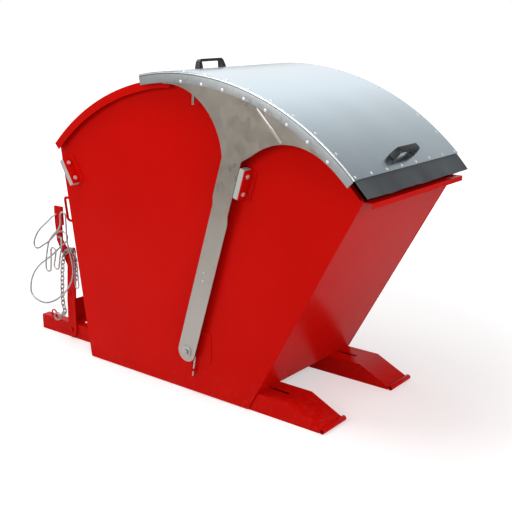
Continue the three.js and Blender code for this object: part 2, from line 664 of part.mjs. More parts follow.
function makeBase() {
  const outline = [
    [pocketRearX, 0],
    [pocketTipX, 0],
    [pocketTipX, pocketTipZ],
    [pocketKinkX, pocketHeight],
    [pocketRearX, pocketHeight],
  ];
  const slope = (pocketHeight - pocketTipZ) / (pocketTipX - pocketKinkX);
  const underTop = pocketHeight - pocketWall;
  const hollow = [
    [pocketRearX - cutOverrun, -cutOverrun],
    [pocketTipX + cutOverrun, -cutOverrun],
    [pocketTipX + cutOverrun, pocketTipZ - pocketWall - cutOverrun * slope],
    [pocketKinkX - pocketWall * slope, underTop],
    [pocketRearX - cutOverrun, underTop],
  ];
  const slotHalf = clawThickness / 2 + slotClearance;
  const slotMid = clawY + clawThickness / 2;
  const pocket = cut(
    plate(outline, -pocketOuter, -pocketInner),
    plate(hollow, -pocketOuter + pocketWall, -pocketInner - pocketWall),
    box(slotRearX, slotFrontX, -slotMid - slotHalf, -slotMid + slotHalf, underTop - cutOverrun,
      pocketHeight + cutOverrun),
  );
  piece('fork_pocket_near', pocket, red);
  piece('fork_pocket_far', mirrorY(pocket), red);

  const tubeX = pocketTipX + seatGap + tipTubeRadius;
  const tube = plate(hole(tubeX, tipTubeRadius, tipTubeRadius, 24), -tipTubeOuter, -tipTubeInner,
    [hole(tubeX, tipTubeRadius, tipTubeBore, 24)]);
  piece('tip_tube_near', tube, red);
  piece('tip_tube_far', mirrorY(tube), red);

  const pin = barY(hingeX, hingeZ, hingePinRadius, -pocketOuter + pocketWall + seatGap,
    -pocketInner - pocketWall - seatGap, 48);
  piece('hinge_pin_near', pin, brightSteel);
  piece('hinge_pin_far', mirrorY(pin), brightSteel);

  const railInner = rail.outer - rail.width;
  const tubeBody = cut(
    box(rail.rearX, rail.frontX, -rail.outer, -railInner, 0, rail.height),
    box(rail.rearX - cutOverrun, rail.frontX + cutOverrun, -rail.outer + rail.wall, -railInner - rail.wall,
      rail.wall, rail.height - rail.wall),
  );
  const bored = cut(tubeBody, barY(latchX, latchZ, latchBoltRadius + seatGap, -rail.outer - cutOverrun,
    -rail.outer + rail.wall + cutOverrun, 24));
  piece('base_rail_near', bored, red);
  piece('base_rail_far', mirrorY(tubeBody), red);

  const beamFoot = rail.height + seatGap;
  const beam = plate([
    [crossBeam.rearX, beamFoot],
    [crossBeam.rearX + crossBeam.sheet + crossBeam.ledge, beamFoot],
    [crossBeam.rearX + crossBeam.sheet + crossBeam.ledge, beamFoot + crossBeam.sheet],
    [crossBeam.rearX + crossBeam.sheet, beamFoot + crossBeam.sheet],
    [crossBeam.rearX + crossBeam.sheet, beamFoot + crossBeam.height],
    [crossBeam.rearX, beamFoot + crossBeam.height],
  ], -rail.outer, rail.outer);
  piece('rear_cross_beam', beam, red);

  const tieHalf = pocketInner - seatGap;
  const tie = cut(
    box(tieTube.x, tieTube.x + tieTube.size, -tieHalf, tieHalf, tieTube.z, tieTube.z + tieTube.size),
    box(tieTube.x + tieTube.wall, tieTube.x + tieTube.size - tieTube.wall, -tieHalf - cutOverrun,
      tieHalf + cutOverrun, tieTube.z + tieTube.wall, tieTube.z + tieTube.size - tieTube.wall),
  );
  piece('base_tie_tube', tie, red);

  const eyePlaces = [
    [eyeX - eyeRadius, rail.height + seatGap],
    [eyeX - eyeRadius, rail.height + seatGap + eyeRise],
    [eyeX + eyeRadius, rail.height + seatGap + eyeRise],
    [eyeX + eyeRadius, rail.height + seatGap],
  ].map(([x, z]) => new THREE.Vector3(x, -eyeY, z));
  piece('rail_eye', bar(roundedRoute(eyePlaces, eyeRadius * eyeCornerShare), eyeWire, 10, 28), red);

  const headFoot = rail.outer + runningGap + latchPlate + runningGap;
  const shank = barY(latchX, latchZ, latchBoltRadius, -headFoot - seatGap, -rail.outer + rail.wall + cutOverrun, 48);
  const head = barY(latchX, latchZ, latchBoltHead, -headFoot - latchBoltHeight, -headFoot, 6);
  piece('latch_bolt', join(shank, head), red);
}

// Cheeks, sheet and edges of the lid
function makeLid() {
  const sheetUnder = lidCrown - lidSheet;
  const sheet = roundBand(sheetUnder, lidCrown, lidRearAngle, lidFrontAngle, 48, -lidHalfWidth, lidHalfWidth);
  piece('lid_sheet', join(sheet, ...sheetRivets()), zinc);

  const edgeTop = sheetUnder - seatGap;
  const flange = roundBand(lidCrown - edgeDepth, edgeTop, lidRearAngle, lidFrontAngle, 40,
    -lidHalfWidth, -lidHalfWidth + edgeSheet);
  const ledge = roundBand(edgeTop - edgeSheet, edgeTop, lidRearAngle, lidFrontAngle, 40,
    -lidHalfWidth, -lidHalfWidth + edgeLedge);
  const edge = join(flange, ledge, ...edgeRivets());
  piece('lid_edge_near', edge, zinc);
  piece('lid_edge_far', mirrorY(edge), zinc);

  const fanTop = edgeTop - edgeSheet - seatGap;
  const turnTo = (centre, point) => Math.atan2(point.z - centre.z, point.x - centre.x);
  const rearTurn = turnTo(pivot, rearScoop);
  const frontTurn = turnTo(pivot, frontScoop);
  const rearEdge = leaning(pivot, armLean, -armHalfWidth, 0);
  const armRear = lineMeetsCircle({ x: rearEdge[0], z: rearEdge[1] }, armLean, rearScoop, scoopRadius, true);
  const outline = [
    ...circlePoints(pivot.x, pivot.z, armHalfWidth, Math.PI - armLean, Math.PI * 2 - armLean, 22),
    leaning(pivot, armLean, armHalfWidth, armFrontReach),
    ...circlePoints(frontScoop.x, frontScoop.z, scoopRadius, frontScoopFrom, frontTurn, 18),
    ...roundPoints(fanTop, Math.PI / 2 - frontTurn, Math.PI / 2 - rearTurn, 34),
    ...circlePoints(rearScoop.x, rearScoop.z, scoopRadius, rearTurn, turnTo(rearScoop, armRear), 18),
  ];
  const fullOuter = fanOuterY;
  const blank = plate(outline, -fullOuter - cutOverrun, -armOuterY + fanPlate + cutOverrun,
    [hole(pivot.x, pivot.z, pivotShank + runningClearance, 48)]);
  const far = lidCrown * 2;
  const section = [
    [-far, armOuterY],
    [0, armOuterY],
    [joggleRun, fanOuterY],
    [far, fanOuterY],
    [far, fanOuterY - fanPlate],
    [joggleRun, fanOuterY - fanPlate],
    [0, armOuterY - fanPlate],
    [-far, armOuterY - fanPlate],
  ];
  const folded = new THREE.ExtrudeGeometry(
    new THREE.Shape(section.map(([along, out]) => new THREE.Vector2(along, -out))),
    { depth: far * 2, bevelEnabled: false },
  );
  folded.translate(0, 0, -far).rotateY(joggleTurn - Math.PI / 2);
  folded.translate(joggleAt.x, 0, joggleAt.z);

  const ribRun = Math.hypot(fanRib.frontX - fanRib.rearX, fanRib.frontZ - fanRib.rearZ);
  const ribLean = Math.atan2(fanRib.frontX - fanRib.rearX, fanRib.frontZ - fanRib.rearZ);
  const ribFoot = { x: fanRib.rearX, z: fanRib.rearZ };
  const rib = leaningBlock(ribFoot, ribLean, -fanRib.width / 2, fanRib.width / 2, 0, ribRun,
    -fanOuterY - fanRib.thickness, -fanOuterY + fanRib.thickness);
  const arm = join(overlap(blank, folded), rib);
  piece('lid_arm_near', arm, zinc);
  piece('lid_arm_far', mirrorY(arm), zinc);

  const lugFoot = { x: onRound(lugAngle, lugTipRadius)[0], z: onRound(lugAngle, lugTipRadius)[1] };
  const lugFace = fanOuterY - fanPlate - seatGap;
  const lug = leaningBlock(lugFoot, lugAngle, -lugWidth / 2, lugWidth / 2, 0, lugLength,
    -lugFace, -lugFace + lugThickness);
  piece('stop_lug_near', lug, zinc);
  piece('stop_lug_far', mirrorY(lug), zinc);
}

// Round-headed rivet, standing on a face
function rivet(direction, x, y, z) {
  const head = new THREE.LatheGeometry([
    new THREE.Vector2(0, 0),
    new THREE.Vector2(rivetHead, 0),
    new THREE.Vector2(rivetHead * rivetShoulderShare, rivetRise * rivetShoulderShare),
    new THREE.Vector2(0, rivetRise),
  ], 10);
  const turn = new THREE.Quaternion().setFromUnitVectors(new THREE.Vector3(0, 1, 0), direction);
  return head.applyQuaternion(turn).translate(x, y, z);
}

function edgeRivets() {
  const outward = new THREE.Vector3(0, -1, 0);
  const heads = [];
  for (let index = firstFlangeRivet; index < rivetPitches; index += 1) {
    const [x, z] = onRound(rivetRearAngle + index * rivetPitchAngle, flangeRivetRadius);
    heads.push(rivet(outward, x, -lidHalfWidth + rivetSink, z));
  }
  return heads;
}

function sheetRivets() {
  const heads = [];
  const seatRadius = lidCrown - rivetSink;
  for (let index = 0; index < rivetPitches; index += 1) {
    const turn = rivetRearAngle + index * rivetPitchAngle;
    const [x, z] = onRound(turn, seatRadius);
    const up = new THREE.Vector3(Math.sin(turn), 0, Math.cos(turn));
    const head = rivet(up, x, -lidHalfWidth + rivetEdge, z);
    heads.push(head, mirrorY(head));
  }
  const frontUp = new THREE.Vector3(Math.sin(rivetFrontAngle), 0, Math.cos(rivetFrontAngle));
  const [frontX, frontZ] = onRound(rivetFrontAngle, seatRadius);
  for (let index = 0; index < frontRowCount; index += 1) {
    const y = frontRowHalf * ((2 * index) / (frontRowCount - 1) - 1);
    heads.push(rivet(frontUp, frontX, y, frontZ));
  }
  return heads;
}

// Bridge handle that stands on the lid's round
function lidHandle(turn) {
  const half = handleLength / 2;
  const topHalf = handleTopLength / 2;
  const innerHalf = half - handleFoot;
  const innerTop = topHalf - handleGrip;
  const shape = new THREE.Shape([
    [-half, 0],
    [-innerHalf, 0],
    [-innerTop, handleRise - handleGrip],
    [innerTop, handleRise - handleGrip],
    [innerHalf, 0],
    [half, 0],
    [topHalf, handleRise],
    [-topHalf, handleRise],
  ].map(([along, rise]) => new THREE.Vector2(along, rise)));
  const body = new THREE.ExtrudeGeometry(shape, { depth: handleWidth, bevelEnabled: false });
  body.translate(0, 0, -handleWidth / 2).rotateX(Math.PI / 2).rotateZ(Math.PI / 2).rotateY(turn);
  const [x, z] = onRound(turn, lidCrown + handleSeat);
  return body.translate(x, 0, z);
}

function makeHandles() {
  piece('lid_handle_front', lidHandle(frontHandleAngle), blackPlastic);
  piece('lid_handle_rear', lidHandle(rearHandleAngle), blackPlastic);
}

// Rubber flap that closes the mouth, held under the sheet by a clamp bar
function makeFlap() {
  const underside = lidCrown - lidSheet - seatGap;
  const [x, z] = onRound(lidFrontAngle, underside);
  const foot = { x, z };
  const lean = lidFrontAngle + Math.PI / 2;
  const half = flapHalfWidth;
  const innerHalf = lidHalfWidth - edgeLedge - seatGap;
  const back = leaningBlock(foot, lean, flapClear, flapClear + flapThickness, -flapBack, flapClear, -innerHalf,
    innerHalf);
  const hang = leaningBlock(foot, lean, flapClear, flapClear + flapThickness, seatGap, flapHang, -half, half);
  piece('mouth_flap', join(back, hang), rubber);
  const clampAt = flapClear + flapThickness + seatGap;
  piece('flap_clamp_bar', leaningBlock(foot, lean, clampAt, clampAt + clampThickness, -clampWidth, -seatGap,
    -innerHalf, innerHalf), zinc);
}

function makeLatch() {
  const near = -rail.outer - runningGap;
  const outline = [
    ...circlePoints(latchX + leverFootForward, latchZ - leverFootDrop, leverFootRadius, -Math.PI * leverFootShare,
      -Math.PI * (1 - leverFootShare), 10).reverse(),
    ...leverFrontEdge,
    ...leverRearEdge,
  ];
  piece('latch_lever', plate(outline, near - latchPlate, near,
    [hole(latchX, latchZ, latchBoltRadius + runningClearance, 48)]), red);
  const headNear = near - latchPlate - leverHead.nearSide;
  const headFar = near + leverHead.farSide;
  const block = box(leverHead.rearX, leverHead.frontX, headNear, headFar, leverTopZ + seatGap, leverHead.high);
  piece('latch_head', block, red);
}

// Ring with straight sides, in the plane of two directions
function linkRing(centre, along, across, innerLength, innerWidth, thickness) {
  const radius = (innerWidth + thickness) / 2;
  const half = (innerLength - innerWidth) / 2;
  const normal = new THREE.Vector3().crossVectors(along, across);
  const path = [];
  [1, -1].forEach((end) => {
    for (let step = 0; step <= chainArcSteps; step += 1) {
      const turn = -Math.PI / 2 + (Math.PI * step) / chainArcSteps;
      path.push({
        a: end * (half + radius * Math.cos(turn)),
        b: end * radius * Math.sin(turn),
        out: [end * Math.cos(turn), end * Math.sin(turn)],
      });
    }
  });
  const places = [];
  path.forEach(({ a, b, out }) => {
    const outward = along.clone().multiplyScalar(out[0]).addScaledVector(across, out[1]);
    const middle = centre.clone().addScaledVector(along, a).addScaledVector(across, b);
    for (let side = 0; side < chainSides; side += 1) {
      const turn = (2 * Math.PI * side) / chainSides;
      const point = middle.clone()
        .addScaledVector(outward, (Math.cos(turn) * thickness) / 2)
        .addScaledVector(normal, (Math.sin(turn) * thickness) / 2);
      places.push(point.x, point.y, point.z);
    }
  });
  const faces = [];
  for (let ring = 0; ring < path.length; ring += 1) {
    const next = (ring + 1) % path.length;
    for (let side = 0; side < chainSides; side += 1) {
      const beside = (side + 1) % chainSides;
      const a = ring * chainSides + side;
      const b = ring * chainSides + beside;
      const c = next * chainSides + beside;
      const d = next * chainSides + side;
      faces.push(a, d, c, a, c, b);
    }
  }
  const geometry = new THREE.BufferGeometry();
  geometry.setAttribute('position', new THREE.BufferAttribute(new Float32Array(places), 3));
  geometry.setIndex(faces);
  return geometry;
}

// Joints one pitch apart along a hanging strand
function chainJoints(points, pitch, count) {
  const route = new THREE.CatmullRomCurve3(points.map(([x, z]) => new THREE.Vector3(x, chainPlaneY, z)));
  const fine = route.getSpacedPoints(4000);
  const joints = [fine[0]];
  let last = fine[0];
  fine.forEach((point) => {
    if (joints.length <= count && point.distanceTo(last) >= pitch) {
      joints.push(point);
      last = point;
    }
  });
  return { joints, end: fine[fine.length - 1] };
}

function makeChain() {
  const pitch = chainInnerLength + chainBearing;
  const sideways = new THREE.Vector3(0, 1, 0);
  const links = [];
  const placeLink = (from, to, upright, size) => {
    const along = to.clone().sub(from).normalize();
    const inPlane = new THREE.Vector3().crossVectors(along, sideways).normalize();
    const centre = from.clone().add(to).multiplyScalar(1 / 2);
    links.push(linkRing(centre, along, upright ? inPlane : sideways, size.innerLength, size.innerWidth, size.wire));
  };
  const small = { wire: chainWire, innerLength: chainInnerLength, innerWidth: chainInnerWidth };
  const left = [chainApex.x - pitch / 2, chainApex.z];
  const right = [chainApex.x + pitch / 2, chainApex.z];
  const at = ([x, z]) => new THREE.Vector3(x, chainPlaneY, z);
  placeLink(at(left), at(right), true, small);
  [[left, rearStrand, rearStrandLinks, hookLink], [right, frontStrand, frontStrandLinks, endLink]]
    .forEach(([start, strand, count, last]) => {
      const { joints } = chainJoints([start, ...strand], pitch, count);
      for (let index = 0; index + 1 < joints.length; index += 1) {
        placeLink(joints[index], joints[index + 1], index % 2 === 1, small);
      }
      const tail = joints[joints.length - 1];
      const before = joints[joints.length - 2];
      const along = tail.clone().sub(before).normalize();
      const reach = (chainInnerLength + last.innerLength) / 2 + chainBearing - pitch / 2;
      const lastCentre = tail.clone().addScaledVector(along, reach);
      const from = lastCentre.clone().addScaledVector(along, -1);
      const to = lastCentre.clone().addScaledVector(along, 1);
      placeLink(from, to, (joints.length - 1) % 2 === 1, last);
    });
  piece('hook_chain', join(...links), zinc);

  const near = -rail.outer - runningGap - latchPlate;
  const pegZ = chainApex.z + chainInnerWidth / 2 - chainPegRadius - pegGap;
  const shank = barY(chainApex.x, pegZ, chainPegRadius, chainPlaneY - pegOverhang, near - seatGap, 14);
  const cap = barY(chainApex.x, pegZ, chainPegRadius + pegLip, chainPlaneY - pegOverhang - pegLip,
    chainPlaneY - pegOverhang, 14);
  piece('chain_peg', join(shank, cap), brightSteel);
}

function makeRope() {
  const places = ropeRoute.map(([x, y, z]) => new THREE.Vector3(x, y, z));
  piece('pull_rope', wire(places, ropeDiameter, ropeSides, ropeSteps), zinc);
  const route = new THREE.CatmullRomCurve3(places, false, 'centripetal');
  const beads = route.getSpacedPoints(900);
  const length = route.getLength();
  let least = Infinity;
  for (let i = 0; i < beads.length; i += 1) {
    for (let j = i + 40; j < beads.length; j += 1) {
      least = Math.min(least, beads[i].distanceTo(beads[j]));
    }
  }
  console.log(`rope length ${length.toFixed(0)} mm, least gap to itself ${(least - ropeDiameter).toFixed(2)} mm`);
}

makeBase();
makeTub();
makeRoof();
makeRim();
makeLip();
makeStaple();
makePivots();
makeStops();
makeLockRod();
makeClaws();
makeLid();
makeHandles();
makeFlap();
makeLatch();
makeChain();
makeRope();

export default hopper;
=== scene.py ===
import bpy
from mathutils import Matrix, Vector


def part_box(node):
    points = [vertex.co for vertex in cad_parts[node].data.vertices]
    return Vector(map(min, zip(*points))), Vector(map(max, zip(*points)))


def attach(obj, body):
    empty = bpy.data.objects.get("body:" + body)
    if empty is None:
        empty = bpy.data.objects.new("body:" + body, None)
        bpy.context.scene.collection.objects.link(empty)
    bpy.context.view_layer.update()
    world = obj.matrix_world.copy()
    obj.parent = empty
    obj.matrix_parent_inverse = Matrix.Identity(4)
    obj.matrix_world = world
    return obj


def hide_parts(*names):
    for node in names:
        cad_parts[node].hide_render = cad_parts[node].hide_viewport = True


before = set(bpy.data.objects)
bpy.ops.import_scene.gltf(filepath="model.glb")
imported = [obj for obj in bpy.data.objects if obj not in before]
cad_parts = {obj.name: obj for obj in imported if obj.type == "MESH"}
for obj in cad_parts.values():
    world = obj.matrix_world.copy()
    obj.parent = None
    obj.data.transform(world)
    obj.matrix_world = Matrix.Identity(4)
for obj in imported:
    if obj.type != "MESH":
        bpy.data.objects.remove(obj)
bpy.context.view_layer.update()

import logging
from contextlib import contextmanager
from dataclasses import dataclass
from enum import Enum
from functools import cache
from math import atan2, copysign, cos, pi, radians, sin, sqrt, tan
from typing import Iterable, Iterator, Sequence

import bmesh
import bpy
from mathutils import Matrix, Vector

Point = tuple[float, float, float]
Colour = tuple[float, float, float]
Piece = bpy.types.Object
Socket = bpy.types.NodeSocket

log = logging.getLogger("hopper")

PIVOT_X = 0.160
PIVOT_Z = 0.223
PIVOT = Vector((PIVOT_X, 0.0, PIVOT_Z))
ACROSS = Vector((0.0, 1.0, 0.0))
UPRIGHT = Vector((0.0, 0.0, 1.0))
SHY = 0.0001
CAD_MERGE = 0.00002
CAD_FLAT = radians(0.4)
HEX_TOP_SHARE = 0.97
HEX_TRIM_FLARE = 2.2
HEX_ROUNDING_SHARE = 0.05
WELD_RIPPLE = 0.006
WELD_DEPTH_SHARE = 0.12
WELD_BEAT = 1.37
WHITE = (1.0, 1.0, 1.0, 1.0)


class Body(str, Enum):
    """The moving bodies of the hopper."""

    BASE = "base_frame"
    TUB = "tub"
    LID = "lid"
    LATCH = "latch"
    ROD = "lock_rod_body"


class Slot(str, Enum):
    """The material slots of the hopper."""

    RED = "red_paint"
    ZINC = "zinc"
    STEEL = "bright_steel"
    ROPE = "rope"
    BUFFER = "buffer"
    PLASTIC = "black_plastic"
    RUBBER = "rubber"


class Side(Enum):
    """The two sides of the hopper, as the sign of Y."""

    NEAR = -1
    FAR = 1

    @property
    def word(self) -> str:
        """The side's word in node names."""
        return self.name.lower()


class Graph:
    """Shorthand for wiring nodes in one tree."""

    def __init__(self, tree: bpy.types.NodeTree) -> None:
        """Keeps the tree to fill, and clears it."""
        self.tree = tree
        tree.nodes.clear()

    def add(self, kind: str, values: dict[str, object] | None = None, **settings: object) -> bpy.types.Node:
        """Adds a node.

        Args:
            kind: The node's type without the leading ShaderNode.
            values: Constant values of its inputs, by name.
            settings: Attributes to set on the node.

        Returns:
            The node.
        """
        node = self.tree.nodes.new(f"ShaderNode{kind}")
        for key, value in settings.items():
            setattr(node, key, value)
        for name, value in (values or {}).items():
            node.inputs[name].default_value = value
        return node

    def wire(self, source: Socket, target: Socket) -> None:
        """Links one socket to another."""
        self.tree.links.new(source, target)

    def coordinates(self) -> Socket:
        """The object coordinates' socket."""
        return self.add("TexCoord").outputs["Object"]

    def axis(self, vector: Socket, name: str) -> Socket:
        """Takes one part of a vector.

        Args:
            vector: The vector's socket.
            name: X, Y or Z.

        Returns:
            The part's socket.
        """
        node = self.add("SeparateXYZ")
        self.wire(vector, node.inputs["Vector"])
        return node.outputs[name]

    def noise(self, vector: Socket, scale: float, detail: float = 2.0, roughness: float = 0.5) -> Socket:
        """A noise texture's value.

        Args:
            vector: The coordinates.
            scale: Noise scale in 1/m.
            detail: Octaves.
            roughness: Weight of the finer octaves.

        Returns:
            The value's socket.
        """
        node = self.add("TexNoise", {"Scale": scale, "Detail": detail, "Roughness": roughness})
        self.wire(vector, node.inputs["Vector"])
        return node.outputs["Fac"]

    def spread(self, value: Socket, low: float, high: float,
               to_low: float = 0.0, to_high: float = 1.0) -> Socket:
        """Maps one range of values onto another, clamped.

        Args:
            value: The value to map.
            low: Value that gives to_low.
            high: Value that gives to_high.
            to_low: Result at low.
            to_high: Result at high.

        Returns:
            The mapped value's socket.
        """
        node = self.add("MapRange", {"From Min": low, "From Max": high, "To Min": to_low, "To Max": to_high})
        self.wire(value, node.inputs["Value"])
        return node.outputs["Result"]

    def math(self, operation: str, *values: Socket | float) -> Socket:
        """A math node on sockets or numbers.

        Args:
            operation: The operation's name.
            values: Its inputs, each a socket or a number.

        Returns:
            The result's socket.
        """
        node = self.add("Math", operation=operation)
        for socket, value in zip(node.inputs, values):
            if isinstance(value, bpy.types.NodeSocket):
                self.wire(value, socket)
            else:
                socket.default_value = value
        return node.outputs[0]

    def blend(self, factor: Socket, first: Socket | Colour, second: Socket | Colour) -> Socket:
        """A colour mix.

        Args:
            factor: Share of the second colour.
            first: A colour or a socket, shown at 0.
            second: A colour or a socket, shown at 1.

        Returns:
            The mixed colour's socket.
        """
        node = self.add("Mix", data_type="RGBA")
        self.wire(factor, node.inputs[0])
        for socket, value in ((node.inputs[6], first), (node.inputs[7], second)):
            if isinstance(value, tuple):
                socket.default_value = (*value, 1.0)
            else:
                self.wire(value, socket)
        return node.outputs[2]

    def bump(self, height: Socket, strength: float, distance: float) -> Socket:
        """Turns a height into a shading normal.

        Args:
            height: Height of the relief.
            strength: Strength of the relief.
            distance: Height of a full step, in metres.

        Returns:
            The normal's socket.
        """
        node = self.add("Bump", {"Strength": strength, "Distance": distance})
        self.wire(height, node.inputs["Height"])
        return node.outputs["Normal"]


def handling_marks() -> bpy.types.NodeTree:
    """Makes the group of fine scratches and faint smears that paint, zinc and steel share.

    Returns:
        The node group, with the outputs Scratches and Smears.
    """
    tree = bpy.data.node_groups.new("handling_marks", "ShaderNodeTree")
    for name, way in (("Scratch Scale", "INPUT"), ("Smear Scale", "INPUT"),
                      ("Scratches", "OUTPUT"), ("Smears", "OUTPUT")):
        tree.interface.new_socket(name=name, in_out=way, socket_type="NodeSocketFloat")
    graph = Graph(tree)
    inlet = tree.nodes.new("NodeGroupInput")
    outlet = tree.nodes.new("NodeGroupOutput")
    place = graph.coordinates()
    stretched = graph.add("Mapping", {"Scale": (1.0, 0.35, 0.12), "Rotation": (0.0, 0.4, 0.0)})
    graph.wire(place, stretched.inputs["Vector"])
    for vector, scale, detail, low, high, mark in (
            (stretched.outputs["Vector"], "Scratch Scale", 4.0, 0.64, 0.76, "Scratches"),
            (place, "Smear Scale", 3.0, 0.35, 0.7, "Smears")):
        lines = graph.add("TexNoise", {"Detail": detail})
        graph.wire(vector, lines.inputs["Vector"])
        graph.wire(inlet.outputs[scale], lines.inputs["Scale"])
        graph.wire(graph.spread(lines.outputs["Fac"], low, high), outlet.inputs[mark])
    return tree


HANDLING_MARKS = handling_marks()


@dataclass(frozen=True)
class Finish:
    """A finish of one kind of surface, made as a procedural material.

    Attributes:
        name: The material's name.
        colour: Main linear colour.
        tint: Second linear colour, for variation.
        roughness: Mean roughness.
        metallic: Metallic share.
        grain: Scale of the surface's fine relief, in 1/m.
        relief: Height of that relief, in metres.
        specular: Specular level of the shader.
        reflection: Tint of the reflection seen straight on.
        mark_scales: Scales of the scratches and of the smears, in 1/m.
        rough_range: How far the roughness goes below and above its mean.
        scratch: How much a scratch adds to the roughness.
        bumpiness: Strength of the relief.
    """

    name: str
    colour: Colour
    tint: Colour
    roughness: float
    metallic: float = 0.0
    grain: float = 400.0
    relief: float = 0.0002
    specular: float = 0.5
    reflection: Colour = (1.0, 1.0, 1.0)
    mark_scales: tuple[float, float] = (60.0, 4.0)
    rough_range: tuple[float, float] = (0.04, 0.06)
    scratch: float = 0.0
    bumpiness: float = 0.5

    def share(self, graph: Graph, place: Socket, smears: Socket) -> Socket:
        """The share of the second colour and of the duller roughness."""
        return smears

    def sheet(self, graph: Graph, place: Socket, share: Socket) -> Socket:
        """The surface's colour, from the share of its second one."""
        return graph.blend(share, self.colour, self.tint)

    def height(self, graph: Graph, place: Socket) -> Socket:
        """The height of the fine relief."""
        return graph.noise(place, self.grain)

    def build(self) -> bpy.types.Material:
        """Makes the material.

        Returns:
            The material.
        """
        material = bpy.data.materials.new(self.name)
        material.use_nodes = True
        graph = Graph(material.node_tree)
        shader = graph.add("BsdfPrincipled", {"Metallic": self.metallic, "Specular IOR Level": self.specular,
                                              "Specular Tint": (*self.reflection, 1.0)})
        output = graph.add("OutputMaterial")
        graph.wire(shader.outputs["BSDF"], output.inputs["Surface"])
        place = graph.coordinates()
        marks = graph.add("Group", dict(zip(("Scratch Scale", "Smear Scale"), self.mark_scales)),
                          node_tree=HANDLING_MARKS)
        share = self.share(graph, place, marks.outputs["Smears"])
        graph.wire(self.sheet(graph, place, share), shader.inputs["Base Color"])
        smoother, duller = self.rough_range
        rough = graph.spread(share, 0.0, 1.0, self.roughness - smoother, self.roughness + duller)
        worn = graph.math("MULTIPLY_ADD", marks.outputs["Scratches"], self.scratch, rough)
        graph.wire(worn, shader.inputs["Roughness"])
        normal = graph.bump(self.height(graph, place), self.bumpiness, self.relief)
        graph.wire(normal, shader.inputs["Normal"])
        return material


@dataclass(frozen=True)
class PaintFinish(Finish):
    """Glossy sprayed paint with a faint orange peel and dust low down.

    Attributes:
        tint_share: Most of the second colour that shows.
        dust: Linear colour of the dust.
        dust_top: Height at which the dust ends, in metres.
        dust_share: Share of the dust at the floor.
        speck_scale: Scale of the dust's specks, in 1/m.
        speck_range: Noise values at which a speck starts and is full.
        wave_scale: Scale of the sheet's long waves, in 1/m.
        wave_height: Height of those waves beside the orange peel.
    """

    mark_scales: tuple[float, float] = (45.0, 2.2)
    rough_range: tuple[float, float] = (0.03, 0.05)
    scratch: float = 0.02
    bumpiness: float = 0.35
    tint_share: float = 0.6
    dust: Colour = (0.42, 0.06, 0.045)
    dust_top: float = 0.25
    dust_share: float = 0.35
    speck_scale: float = 38.0
    speck_range: tuple[float, float] = (0.5, 0.75)
    wave_scale: float = 5.0
    wave_height: float = 3.0

    def sheet(self, graph: Graph, place: Socket, share: Socket) -> Socket:
        """The paint's colour, with dust towards the floor.

        Args:
            graph: The material's graph.
            place: The object coordinates.
            share: Share of the second colour.

        Returns:
            The colour's socket.
        """
        base = graph.blend(graph.math("MULTIPLY", share, self.tint_share), self.colour, self.tint)
        low = graph.spread(graph.axis(place, "Z"), 0.0, self.dust_top, self.dust_share, 0.0)
        speck = graph.spread(graph.noise(place, self.speck_scale, 5.0, 0.65), *self.speck_range)
        return graph.blend(graph.math("MULTIPLY", low, speck), base, self.dust)

    def height(self, graph: Graph, place: Socket) -> Socket:
        """The orange peel on long flat waves."""
        waves, peel = (graph.noise(place, scale, 2.0, 0.4) for scale in (self.wave_scale, self.grain))
        return graph.math("MULTIPLY_ADD", waves, self.wave_height, peel)


@dataclass(frozen=True)
class ZincFinish(Finish):
    """Galvanised sheet with its crystal pattern, drawing lines and dull smears.

    Attributes:
        crystal: Scale of the crystals, in 1/m.
        lines: Scale of the drawing lines, in 1/m.
        contrast: Strength of the crystals.
        mottle: Strength of the drawing lines and of the smears.
        border_scale: Scale of the bends in the crystals' borders, in 1/m.
        border_bend: How far a border is bent, in metres.
        draw_stretch: Scale of the drawing lines along their run, beside that across.
    """

    metallic: float = 1.0
    mark_scales: tuple[float, float] = (80.0, 2.6)
    rough_range: tuple[float, float] = (0.07, 0.1)
    scratch: float = -0.015
    bumpiness: float = 0.3
    crystal: float = 55.0
    lines: float = 260.0
    contrast: float = 0.5
    mottle: float = 0.35
    border_scale: float = 30.0
    border_bend: float = 0.02
    draw_stretch: float = 0.03

    def share(self, graph: Graph, place: Socket, smears: Socket) -> Socket:
        """Crystals with bent borders, drawing lines and smears, added up.

        Args:
            graph: The material's graph.
            place: The object coordinates.
            smears: The faint smears.

        Returns:
            The share's socket.
        """
        bent = graph.add("TexNoise", {"Scale": self.border_scale})
        graph.wire(place, bent.inputs["Vector"])
        shifted = graph.add("VectorMath", operation="MULTIPLY_ADD")
        graph.wire(bent.outputs["Color"], shifted.inputs[0])
        shifted.inputs[1].default_value = (self.border_bend,) * 3
        graph.wire(place, shifted.inputs[2])
        cells = graph.add("TexVoronoi", {"Scale": self.crystal})
        graph.wire(shifted.outputs["Vector"], cells.inputs["Vector"])
        tone = graph.add("SeparateColor")
        graph.wire(cells.outputs["Color"], tone.inputs["Color"])
        crystals = graph.math("MULTIPLY", tone.outputs["Red"], self.contrast)
        drawn = graph.add("Mapping", {"Scale": (1.0, 1.0, self.draw_stretch)})
        graph.wire(place, drawn.inputs["Vector"])
        streaks = graph.noise(drawn.outputs["Vector"], self.lines, 3.0)
        return graph.math("MULTIPLY_ADD", smears, self.mottle,
                          graph.math("MULTIPLY_ADD", streaks, self.mottle, crystals))

    def height(self, graph: Graph, place: Socket) -> Socket:
        """The height of the fine relief."""
        return graph.noise(place, self.grain, 3.0)


